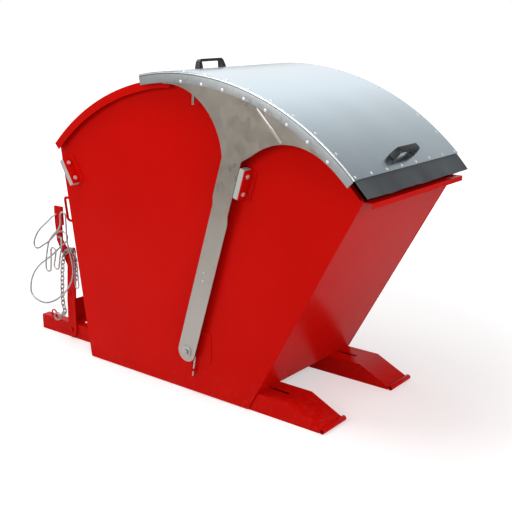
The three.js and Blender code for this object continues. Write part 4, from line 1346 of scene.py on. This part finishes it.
@dataclass
class Tub(SubAssembly):
    """The red tub with its roof, rim, lip, stops, staple, lid pivots and hinge claws."""

    body = Body.TUB

    rounding: float = 0.0008
    plate_face: float = 0.4003
    front_lean: float = radians(17.4)
    front_reach: float = 0.855
    front_aside: float = 0.0535
    rear_lean: float = radians(-30.9)
    rear_foot: tuple[float, float] = (-0.781, 0.946)
    rear_wall_x: float = PIVOT_X - 0.740
    rear_wall_lean: float = 0.142
    stop_length: float = 0.142
    stop_sheet: float = 0.005
    stop_leg: float = 0.0283
    stop_toe: float = 0.0623
    stop_outer: float = 0.4513
    stop_bolt_y: float = 0.4283
    stop_bolt: float = 0.0105
    stop_bolt_height: float = 0.0062
    stop_bolt_shares: tuple[float, ...] = (0.2, 0.8)
    stop_rounding: float = 0.0016
    buffer_rounding: float = 0.003
    staple_wire: float = 0.0075
    staple_y: float = -0.262
    staple_top: float = 0.822
    staple_foot: float = 0.694
    staple_reach: float = 0.203
    staple_bend: float = 0.018
    staple_sink: float = 0.001
    staple_weld: float = 0.0024
    staple_weld_sink: float = 0.002
    staple_weld_gap: float = 0.001
    boss_rounding: float = 0.001
    pivot_hex_radius: float = 0.0185
    pivot_hex_height: float = 0.0125
    pivot_hex_y: float = 0.4425
    pivot_turned: tuple[tuple[str, float, float, float, int, float], ...] = (
        ("disc", 0.4386, 0.4425, 0.0298, 40, 0.0006),
        ("shank", 0.4342, 0.4389, 0.00995, 32, 0.0),
        ("end", 0.4540, 0.4565, 0.0085, 24, 0.001),
    )
    wall_seams: tuple[Point, ...] = (
        (PIVOT_X + 0.400 - 0.0002, tan(radians(28.94)), 1.070),
        (PIVOT_X - 0.7534, -tan(radians(8.08)), 1.146),
    )
    seam_y: float = 0.3962
    seam_foot: float = 0.099
    seam_radius: float = 0.0022
    floor_z: float = 0.0943

    def build(self) -> None:
        """Builds every piece of the tub."""
        self.paint(self.rounding, 2, "front_wall", "tub_floor", "rear_wall", "roof_sheet", "mouth_lip",
                   "lock_rod_clip", *both_sides("side_plate", "rim_strip", "pivot_plate", "tub_hinge_claw"))
        self.staple()
        lean = self.front_lean
        front = Vector((self.front_aside * cos(lean) + self.front_reach * sin(lean), 0.0,
                        -self.front_aside * sin(lean) + self.front_reach * cos(lean)))
        rear_x, rear_z = self.rear_foot
        for stop in (Stop("front", lean, PIVOT + front),
                     Stop("rear", self.rear_lean, Vector((PIVOT_X + rear_x, 0.0, rear_z)))):
            for side in Side:
                self.stop(stop, side)
        for side in Side:
            self.pivot(side)
        self.welds()

    def wall_x(self, z: float) -> float:
        """Where the rear wall is at a height, beside the staple."""
        return self.rear_wall_x - self.rear_wall_lean * z

    def staple(self) -> None:
        """Bends the bar staple on the rear wall, and welds it on."""
        legs = (self.staple_top, self.staple_foot)
        line = []
        for z in legs:
            ends = [Vector((self.wall_x(z) + x, self.staple_y, z))
                    for x in (self.staple_sink, -self.staple_reach)]
            line += ends if z == self.staple_top else reversed(ends)
        bar = tube("rear_bar_staple", rounded_line(line, self.staple_bend), self.staple_wire - SHY, 6)
        self.add(bar, RED, Slot.RED, "rear_staple")
        round_leg = self.staple_wire + self.staple_weld_gap
        beads = [ring("staple_weld", Vector((self.wall_x(z) - self.staple_weld_sink, self.staple_y, z)),
                      Vector((1.0, 0.0, 0.0)), round_leg, 24, self.staple_weld, 3) for z in legs]
        self.add(joined("staple_welds", beads), RED, Slot.RED)

    def stop(self, stop: Stop, side: Side) -> None:
        """Dresses one stop's buffer, and models its folded angle and its two bolts.

        Args:
            stop: Where it stands.
            side: The side of the hopper.
        """
        word, end = stop.word, side.word
        self.dress(f"{word}_stop_buffer_{end}", f"{word}_buffer_{end}", BUFFER, Slot.BUFFER,
                   self.buffer_rounding, 3)
        toe, face, length = self.stop_leg + self.stop_sheet, self.plate_face, self.stop_length
        angle = box("leg", (self.stop_leg, -self.stop_outer, 0.0), (toe, -face, length))
        foot = box("foot", (self.stop_leg, -face - self.stop_sheet, 0.0), (self.stop_toe, -face, length))
        combine(angle, foot, "UNION")
        angle.name = f"{word}_angle_{end}"
        outward(angle)
        round_edges(angle, self.stop_rounding, 3)
        bolts = []
        for share in self.stop_bolt_shares:
            bolt = hex_bolt(f"{word}_stop_bolt_{end}", self.stop_bolt, self.stop_bolt_height)
            place = Matrix.Translation((toe, -self.stop_bolt_y, share * length))
            bolt.data.transform(place @ Matrix.Rotation(pi / 2, 4, "Y"))
            bolts.append(bolt)
        heads = joined(f"{word}_stop_bolts_{end}", bolts)
        stand = Matrix.Translation(stop.foot) @ Matrix.Rotation(stop.lean, 4, "Y")
        for piece in (angle, heads):
            piece.data.transform(Matrix.Diagonal((1.0, -side.value, 1.0, 1.0)) @ stand)
            if side is Side.FAR:
                outward(piece)
        self.add(heads, RIVET, Slot.RED)
        self.add(angle, RED, Slot.RED, f"{word}_stop_angle_{end}")

    def pivot(self, side: Side) -> None:
        """Dresses the lid's pivot boss and bolt on one side.

        Args:
            side: The side of the hopper.
        """
        word, sign = side.word, side.value
        self.dress(f"pivot_boss_{word}", f"lid_pivot_boss_{word}", BRIGHT, Slot.ZINC, self.boss_rounding)
        head = hex_bolt(f"pivot_hex_{word}", self.pivot_hex_radius, self.pivot_hex_height)
        turn = Matrix.Rotation(-sign * pi / 2, 4, "X")
        head.data.transform(Matrix.Translation((PIVOT_X, sign * self.pivot_hex_y, PIVOT_Z)) @ turn)
        pieces = [head]
        for name, start, end, radius, sides, rounding in self.pivot_turned:
            pieces.append(cylinder(f"pivot_{name}_{word}", PIVOT + ACROSS * (sign * start),
                                   PIVOT + ACROSS * (sign * end), radius, sides, rounding))
        self.add(joined(f"lid_pivot_bolt_{word}", pieces), BRIGHT, Slot.STEEL, f"pivot_bolt_{word}")

    def welds(self) -> None:
        """Runs thin weld seams where the walls meet the side plates."""
        seams = []
        for side in Side:
            for index, (foot, lean, top) in enumerate(self.wall_seams):
                start, end = (Vector((foot + lean * (z - self.floor_z), side.value * self.seam_y, z))
                              for z in (self.seam_foot, top))
                seams.append(weld_bead(f"seam_{side.word}_{index}", start, end, self.seam_radius))
        self.add(joined("tub_wall_seams", seams), RED, Slot.RED)


ROPE_ROUTE: list[Point] = [
    (-0.945, -0.2902, 0.722), (-0.945, -0.2936, 0.722), (-0.9471, -0.3012, 0.7204),
    (-0.953, -0.3075, 0.716), (-0.962, -0.3105, 0.709), (-0.986, -0.311, 0.689), (-1.023, -0.311, 0.662),
    (-1.066, -0.311, 0.63), (-1.106, -0.311, 0.589), (-1.13, -0.311, 0.55), (-1.135, -0.311, 0.5255),
    (-1.1329, -0.311, 0.5164), (-1.127, -0.311, 0.5092), (-1.1185, -0.311, 0.5054),
    (-1.1092, -0.311, 0.5057), (-1.087, -0.311, 0.513), (-1.05, -0.311, 0.535), (-1.009, -0.311, 0.558),
    (-0.966, -0.312, 0.59), (-0.926, -0.315, 0.621), (-0.89, -0.317, 0.639), (-0.862, -0.317, 0.64),
    (-0.843, -0.317, 0.634), (-0.8315, -0.317, 0.618), (-0.835, -0.317, 0.598), (-0.852, -0.317, 0.58),
    (-0.88, -0.317, 0.559), (-0.926, -0.317, 0.524), (-0.992, -0.317, 0.475), (-1.087, -0.317, 0.412),
    (-1.144, -0.317, 0.356), (-1.18, -0.317, 0.288), (-1.185, -0.317, 0.23), (-1.16, -0.317, 0.202),
    (-1.115, -0.317, 0.188), (-1.064, -0.317, 0.187), (-1, -0.317, 0.206), (-0.925, -0.317, 0.248),
    (-0.859, -0.318, 0.305), (-0.811, -0.319, 0.371), (-0.795, -0.32, 0.433), (-0.803, -0.321, 0.495),
    (-0.815, -0.326, 0.551), (-0.821, -0.3285, 0.601), (-0.82, -0.3305, 0.653), (-0.8185, -0.332, 0.705),
    (-0.8175, -0.3325, 0.737), (-0.8202, -0.333, 0.7472), (-0.8278, -0.3335, 0.7548),
    (-0.838, -0.334, 0.7575), (-0.8482, -0.3345, 0.7548), (-0.8558, -0.335, 0.7472),
    (-0.8585, -0.3355, 0.737), (-0.859, -0.336, 0.7), (-0.871, -0.338, 0.664), (-0.898, -0.341, 0.638),
    (-0.929, -0.343, 0.611), (-0.956, -0.345, 0.576), (-0.977, -0.345, 0.522), (-0.991, -0.345, 0.467),
    (-0.996, -0.345, 0.42), (-0.9933, -0.345, 0.4098), (-0.9858, -0.345, 0.4022), (-0.9755, -0.345, 0.3995),
    (-0.9652, -0.345, 0.4022), (-0.9577, -0.345, 0.4098), (-0.955, -0.345, 0.42), (-0.948, -0.345, 0.476),
    (-0.9435, -0.3455, 0.525), (-0.9408, -0.3456, 0.5352), (-0.9332, -0.3457, 0.5428),
    (-0.923, -0.3458, 0.5455), (-0.9128, -0.3458, 0.5428), (-0.9052, -0.3459, 0.5352),
    (-0.9025, -0.346, 0.525), (-0.91, -0.347, 0.483), (-0.9205, -0.347, 0.446), (-0.9178, -0.347, 0.4358),
    (-0.9102, -0.347, 0.4282), (-0.9, -0.347, 0.4255), (-0.8898, -0.347, 0.4282), (-0.8822, -0.347, 0.4358),
    (-0.8795, -0.347, 0.446), (-0.867, -0.347, 0.501), (-0.852, -0.346, 0.551), (-0.853, -0.341, 0.586),
    (-0.867, -0.331, 0.606), (-0.892, -0.3185, 0.604), (-0.924, -0.3058, 0.5987),
    (-0.9335, -0.2984, 0.5975), (-0.937, -0.287, 0.597), (-0.937, -0.2811, 0.597),
]


@dataclass
class PullRope(SubAssembly):
    """The thin steel rope that pulls the latch, in loose loops beside the lever."""

    body = Body.LATCH

    diameter: float = 0.010
    fill: float = 0.985
    strands: int = 6
    strand_points: int = 4
    strand_depth: float = 0.12
    lay: float = 0.048
    spacing: float = 0.0035

    def build(self) -> None:
        path = smooth_line([Vector(point) for point in ROPE_ROUTE], self.spacing)
        section = self.section()
        mesh = bmesh.new()
        rings = []
        side = ACROSS.copy()
        run = 0.0
        for index, point in enumerate(path):
            before = path[max(index - 1, 0)]
            run += (point - before).length
            ahead = (path[min(index + 1, len(path) - 1)] - before).normalized()
            side = (side - ahead * side.dot(ahead)).normalized()
            other = ahead.cross(side)
            twist = 2 * pi * run / self.lay
            rings.append([mesh.verts.new(point + side * (radius * cos(turn + twist))
                                         + other * (radius * sin(turn + twist))) for turn, radius in section])
        for first, second in zip(rings, rings[1:]):
            for index in range(len(section)):
                beside = (index + 1) % len(section)
                mesh.faces.new((first[index], second[index], second[beside], first[beside]))
        mesh.faces.new(rings[0])
        mesh.faces.new(tuple(reversed(rings[-1])))
        bmesh.ops.recalc_face_normals(mesh, faces=mesh.faces)
        data = bpy.data.meshes.new("pull_rope_wire")
        mesh.to_mesh(data)
        mesh.free()
        piece = linked("pull_rope_wire", data)
        smooth(piece, 60.0)
        self.add(piece, WIRE, Slot.ROPE, "pull_rope")

    def section(self) -> list[tuple[float, float]]:
        """Works out the rope's cross-section of round strands.

        Returns:
            Angle and radius of each point.
        """
        count = self.strands * self.strand_points
        radius = self.diameter / 2 * self.fill
        return [(2 * pi * step / count,
                 radius * (1 - self.strand_depth * (0.5 - 0.5 * cos(2 * pi * step / self.strand_points))))
                for step in range(count)]


@dataclass(frozen=True)
class Link:
    """The size of a chain's link: its wire, and its length and width inside, in metres."""

    wire: float
    length: float
    width: float


@dataclass
class Latch(SubAssembly):
    """The latch lever with its head, its peg and the chain that hangs over the peg."""

    body = Body.LATCH

    lever_rounding: float = 0.0018
    head_rounding: float = 0.004
    peg_sink: float = 0.003
    peg_shank: float = 0.0041
    peg_cap: float = 0.004
    peg_rounding: float = 0.0012
    chain_plane: float = -0.296
    strand_step: float = 0.0002
    small: Link = Link(0.0072, 0.0246, 0.0138)
    hook: Link = Link(0.0088, 0.0482, 0.0302)
    end: Link = Link(0.0068, 0.0462, 0.0222)
    pitch: float = 0.0245
    end_reach: float = 0.0124
    apex: tuple[float, float] = (-0.834, 0.538)
    rear_links: int = 19
    front_links: int = 7

    REAR_STRAND = ((-0.874, 0.522), (-0.898, 0.488), (-0.912, 0.430), (-0.920, 0.370), (-0.925, 0.315),
                   (-0.929, 0.250), (-0.926, 0.195), (-0.916, 0.164), (-0.920, 0.143), (-0.942, 0.134),
                   (-0.962, 0.124), (-0.972, 0.106), (-0.974, 0.040))
    FRONT_STRAND = ((-0.807, 0.512), (-0.799, 0.470), (-0.797, 0.427), (-0.797, 0.385), (-0.796, 0.300))

    def build(self) -> None:
        """Builds the lever, its head, the peg and the chain."""
        self.paint(self.lever_rounding, 3, "latch_lever")
        self.paint(self.head_rounding, 3, "latch_head")
        outer, inner, radius = turned_node("chain_peg")
        shank = cylinder("peg_shank", outer + ACROSS * self.peg_sink, inner, self.peg_shank)
        cap = cylinder("peg_cap", outer, outer + ACROSS * self.peg_cap, radius - SHY, 24, self.peg_rounding)
        self.add(joined("latch_chain_peg", [shank, cap]), BRIGHT, Slot.STEEL, "chain_peg")
        self.chain()

    def chain(self) -> None:
        """Hangs the chain over the peg, link by link."""
        x, z = self.apex
        left, right = (Vector((x + shift, self.chain_plane, z))
                       for shift in (-self.pitch / 2, self.pitch / 2))
        links = [self.link(left, right, True, self.small)]
        for start, strand, count, last in ((left, self.REAR_STRAND, self.rear_links, self.hook),
                                           (right, self.FRONT_STRAND, self.front_links, self.end)):
            places = [start] + [Vector((x, self.chain_plane, z)) for x, z in strand]
            joints = self.joints(places, count)
            for index, (first, second) in enumerate(zip(joints, joints[1:])):
                links.append(self.link(first, second, index % 2 == 1, self.small))
            along = (joints[-1] - joints[-2]).normalized()
            middle = joints[-1] + along * (self.end_reach + last.length / 2 - self.pitch / 2)
            links.append(self.link(middle, middle + along, (len(joints) - 1) % 2 == 1, last, middle))
        self.add(joined("latch_chain", links), CHAIN_STEEL, Slot.ZINC, "hook_chain")

    def joints(self, places: Sequence[Vector], count: int) -> list[Vector]:
        """Points one pitch apart along a strand.

        Args:
            places: The points that the strand hangs through.
            count: Number of links.

        Returns:
            The joints between the links.
        """
        fine = smooth_line(places, self.strand_step)
        joints = [fine[0]]
        for point in fine:
            if len(joints) <= count and (point - joints[-1]).length >= self.pitch:
                joints.append(point)
        return joints

    def link(self, start: Vector, end: Vector, upright: bool, size: Link,
             middle: Vector | None = None) -> Piece:
        """One link along a line.

        Args:
            start: One point of the line.
            end: Another point.
            upright: True where the link lies in the strand's plane.
            size: Its size.
            middle: Its middle, or nothing for half way between the points.

        Returns:
            The link.
        """
        deselect()
        bpy.ops.mesh.primitive_torus_add(major_segments=24, minor_segments=10, minor_radius=size.wire / 2,
                                         major_radius=(size.width + size.wire) / 2)
        piece = bpy.context.object
        half = (size.length - size.width) / 2
        for corner in piece.data.vertices:
            if abs(corner.co.x) > 1e-5:
                corner.co.x += copysign(half, corner.co.x)
        along = (end - start).normalized()
        side = along.cross(ACROSS).normalized() if upright else ACROSS
        turn = Matrix((along, side, along.cross(side))).transposed().to_4x4()
        piece.data.transform(Matrix.Translation(middle or (start + end) / 2) @ turn)
        only(piece)
        bpy.ops.object.shade_smooth()
        return piece


@dataclass
class Base(SubAssembly):
    """The base frame: fork pockets, rails, beam, hinge pins and latch bolt."""

    body = Body.BASE

    rounding: float = 0.0016
    pin_rounding: float = 0.001
    tip_rounding: float = 0.0008
    tip_bore: float = 0.009
    bore_overrun: float = 0.01
    eye_wire: float = 0.0045
    eye_bend: float = 0.0162
    eye_weld: float = 0.0018
    eye_weld_rise: float = 0.001
    eye_weld_gap: float = 0.0006
    bolt_sink: float = 0.004
    bolt_shank: float = 0.00995
    bolt_rounding: float = 0.0006
    bolt_hex_share: float = 0.99
    bolt_hex_height: float = 0.008

    def build(self) -> None:
        """Builds every piece of the base."""
        self.paint(self.rounding, 3, "rear_cross_beam", "base_tie_tube",
                   *both_sides("fork_pocket", "base_rail"))
        for side in Side:
            self.tip_tube(f"tip_tube_{side.word}")
            pin = f"hinge_pin_{side.word}"
            start, end, radius = turned_node(pin)
            turned = cylinder(f"tub_{pin}", start, end, radius - SHY, 40, self.pin_rounding)
            self.add(turned, BRIGHT, Slot.STEEL, pin)
        self.eye()
        self.bolt()

    def tip_tube(self, node: str) -> None:
        """Turns the open tube at a pocket's tip.

        Args:
            node: The CAD node's name.
        """
        start, end, radius = turned_node(node)
        overrun = ACROSS * self.bore_overrun
        piece = cylinder(f"pocket_{node}", start, end, radius - SHY, 40)
        combine(piece, cylinder("bore", start - overrun, end + overrun, self.tip_bore, 32), "DIFFERENCE")
        round_edges(piece, self.tip_rounding)
        self.add(piece, RED, Slot.RED, node)

    def eye(self) -> None:
        """Bends the eye on the near rail for the chain's hook, and welds it on."""
        low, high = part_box("rail_eye")
        wire = self.eye_wire
        y = (low[1] + high[1]) / 2
        left, right, top = low[0] + wire, high[0] - wire, high[2] - wire
        line = [Vector((x, y, z)) for x, z in ((left, low[2]), (left, top), (right, top), (right, low[2]))]
        loop = tube("rail_chain_eye", rounded_line(line, self.eye_bend), wire - SHY, 5)
        feet = [ring("eye_weld", Vector((x, y, low[2] + self.eye_weld_rise)), UPRIGHT,
                     wire + self.eye_weld_gap, 20, self.eye_weld, 2) for x in (left, right)]
        self.add(joined("rail_chain_eye", [loop, *feet]), RED, Slot.RED, "rail_eye")

    def bolt(self) -> None:
        """Turns the bolt that the latch lever swings on."""
        start, end, radius = turned_node("latch_bolt")
        height = self.bolt_hex_height
        shank = cylinder("latch_shank", start + ACROSS * self.bolt_sink, end, self.bolt_shank, 32,
                         self.bolt_rounding)
        head = hex_bolt("latch_hex", radius * self.bolt_hex_share, height)
        head.data.transform(Matrix.Translation(start + ACROSS * height) @ Matrix.Rotation(pi / 2, 4, "X"))
        self.add(joined("latch_pivot_bolt", [shank, head]), RED, Slot.RED, "latch_bolt")


@dataclass
class LockRod(SubAssembly):
    """The small rod that hangs in its clip on the near side plate."""

    body = Body.ROD

    y: float = -0.413
    foot: tuple[float, float] = (PIVOT_X + 0.016, 0.091)
    top: tuple[float, float] = (PIVOT_X + 0.034, 0.196)
    radius: float = 0.00495
    rounding: float = 0.0016

    def build(self) -> None:
        """Turns the rod with small rounded ends."""
        foot, top = (Vector((x, self.y, z)) for x, z in (self.foot, self.top))
        rod = cylinder("locking_rod", foot, top, self.radius, 28, self.rounding)
        self.add(rod, BRIGHT, Slot.STEEL, "lock_rod")


@dataclass(frozen=True)
class Lamp:
    """A soft lamp aimed at the hopper.

    Attributes:
        name: Its name.
        place: Its place.
        aim: The point that it faces.
        size: Width and height of the lamp.
        power: Power in watts.
    """

    name: str
    place: Point
    aim: Point
    size: tuple[float, float]
    power: float

    def build(self) -> None:
        """Adds the lamp."""
        data = bpy.data.lights.new(self.name, "AREA")
        data.shape = "RECTANGLE"
        data.size, data.size_y = self.size
        data.energy = self.power
        lamp = linked(self.name, data)
        lamp.location = self.place
        lamp.rotation_euler = (Vector(self.aim) - Vector(self.place)).to_track_quat("-Z", "Y").to_euler()


@dataclass
class Studio:
    """The camera, the pale floor, the world and the lamps.

    Attributes:
        world_fill: Strength of the soft fill, up to the height haze_low of the sky.
        zenith: Share of the fill that is left above haze_high.
        dark_side: How much the front of the sky counts as height in what metal mirrors.
        mirror_low: Height in the sky where the mirrored sky starts to darken.
        mirror_high: Height where it has its share mirror_dark.
        horizon: Share of the mirrored sky close to the floor.
        glow_range: Distances between which the floor fades into the background, in metres.
        glow_low: The floor's glow near the hopper.
        side_range: Part of the sky to the side over which that darkening starts.
        low_range: Heights over which the mirrored sky rises from its share at the horizon.
        floor_size: Side of the floor, in metres.
        floor_drop: How far it lies under the hopper.
        floor_shade: Its grey.
    """

    azimuth: float = radians(38.2597)
    elevation: float = radians(15.4411)
    focal: float = 879.288
    frame_pixels: float = 512.0
    sensor: float = 36.0
    eye: Point = (2.897, -3.364, 1.805)
    world_fill: float = 0.70
    haze_low: float = 0.36
    haze_high: float = 0.72
    zenith: float = 0.12
    dark_side: float = 0.9
    mirror_low: float = 0.12
    mirror_high: float = 0.80
    mirror_dark: float = 0.15
    horizon: float = 0.45
    glow_range: tuple[float, float] = (1.6, 4.2)
    glow_low: float = 0.42
    side_range: tuple[float, float] = (-0.2, 0.2)
    low_range: tuple[float, float] = (0.04, 0.16)
    floor_size: float = 60.0
    floor_drop: float = 0.0005
    floor_shade: float = 0.74
    lamps: tuple[Lamp, ...] = (
        Lamp("top_softbox", (-1.0, -0.6, 4.6), (0.0, 0.0, 0.8), (3.6, 3.0), 150.0),
        Lamp("near_softbox", (-1.2, -5.0, 2.6), (0.0, 0.0, 0.7), (3.2, 2.4), 80.0),
        Lamp("front_softbox", (4.8, -0.9, 3.0), (0.0, 0.0, 0.5), (2.4, 2.4), 92.0),
    )

    def build(self) -> None:
        """Sets the camera, then the floor, world and lamps."""
        self.camera()
        self.floor()
        self.world()
        for lamp in self.lamps:
            lamp.build()
        bpy.context.scene.view_settings.view_transform = "Standard"

    def camera(self) -> None:
        """Places the camera at the photograph's view."""
        data = bpy.data.cameras.new("photo_camera")
        data.sensor_width = self.sensor
        data.lens = self.focal * self.sensor / self.frame_pixels
        data.clip_end = 100.0
        camera = linked("photo_camera", data)
        right = Vector((cos(self.azimuth), sin(self.azimuth), 0.0))
        back = Vector((cos(self.elevation) * sin(self.azimuth), -cos(self.elevation) * cos(self.azimuth),
                       sin(self.elevation)))
        turn = Matrix((right, back.cross(right), back)).transposed().to_4x4()
        camera.matrix_world = Matrix.Translation(self.eye) @ turn
        bpy.context.scene.camera = camera

    def floor(self) -> None:
        """Lays the pale floor, white to the camera but with the object's shadow."""
        deselect()
        bpy.ops.mesh.primitive_plane_add(size=self.floor_size, location=(0.0, 0.0, -self.floor_drop))
        plane = bpy.context.object
        plane.name = "studio_floor"
        apply_place(plane)
        material = bpy.data.materials.new("pale_floor")
        material.use_nodes = True
        graph = Graph(material.node_tree)
        output = graph.add("OutputMaterial")
        base = graph.add("BsdfDiffuse", {"Color": (*(self.floor_shade,) * 3, 1.0)})
        glow = graph.add("Emission", {"Color": WHITE})
        away = graph.add("VectorMath", operation="LENGTH")
        graph.wire(graph.coordinates(), away.inputs[0])
        far = graph.spread(away.outputs["Value"], *self.glow_range, self.glow_low, 1.0)
        seen = graph.add("LightPath").outputs["Is Camera Ray"]
        graph.wire(graph.math("MULTIPLY", seen, far), glow.inputs["Strength"])
        both = graph.add("AddShader")
        graph.wire(base.outputs[0], both.inputs[0])
        graph.wire(glow.outputs[0], both.inputs[1])
        graph.wire(both.outputs[0], output.inputs["Surface"])
        plane.data.materials.append(material)

    def world(self) -> None:
        """Makes the world white to the camera and through glass, and a soft fill for the rest."""
        world = bpy.data.worlds.new("studio_world")
        world.use_nodes = True
        bpy.context.scene.world = world
        graph = Graph(world.node_tree)
        output = graph.add("OutputWorld")
        sky = graph.add("Background", {"Color": WHITE})
        ways = graph.add("TexCoord").outputs["Generated"]
        x, y, z = (graph.axis(ways, name) for name in "XYZ")
        soft = graph.spread(z, self.haze_low, self.haze_high, self.world_fill, self.world_fill * self.zenith)
        beyond = graph.math("MULTIPLY", x, graph.spread(y, *self.side_range))
        turned = graph.math("MULTIPLY_ADD", beyond, self.dark_side, z)
        above = graph.spread(turned, self.mirror_low, self.mirror_high, 1.0, self.mirror_dark)
        mirrored = graph.math("MULTIPLY", above, graph.spread(z, *self.low_range, self.horizon, 1.0))
        light = graph.add("LightPath").outputs
        seen = graph.math("ADD", light["Is Camera Ray"], light["Is Transmission Ray"])
        plain = graph.math("SUBTRACT", 1.0, light["Is Glossy Ray"])
        shiny = graph.math("MULTIPLY", light["Is Glossy Ray"], mirrored)
        lit = graph.math("MULTIPLY_ADD", plain, soft, shiny)
        graph.wire(graph.math("MAXIMUM", lit, seen), sky.inputs["Strength"])
        graph.wire(sky.outputs[0], output.inputs["Surface"])


def main() -> None:
    """Builds the studio, the rope and each sub-assembly in order."""
    logging.basicConfig(level=logging.INFO, format="%(message)s")
    for part in (Studio(), PullRope(), Base(), Tub(), Lid(), Latch(), LockRod()):
        part.build()
        log.info("%s built", type(part).__name__)


if __name__ == "__main__":
    main()
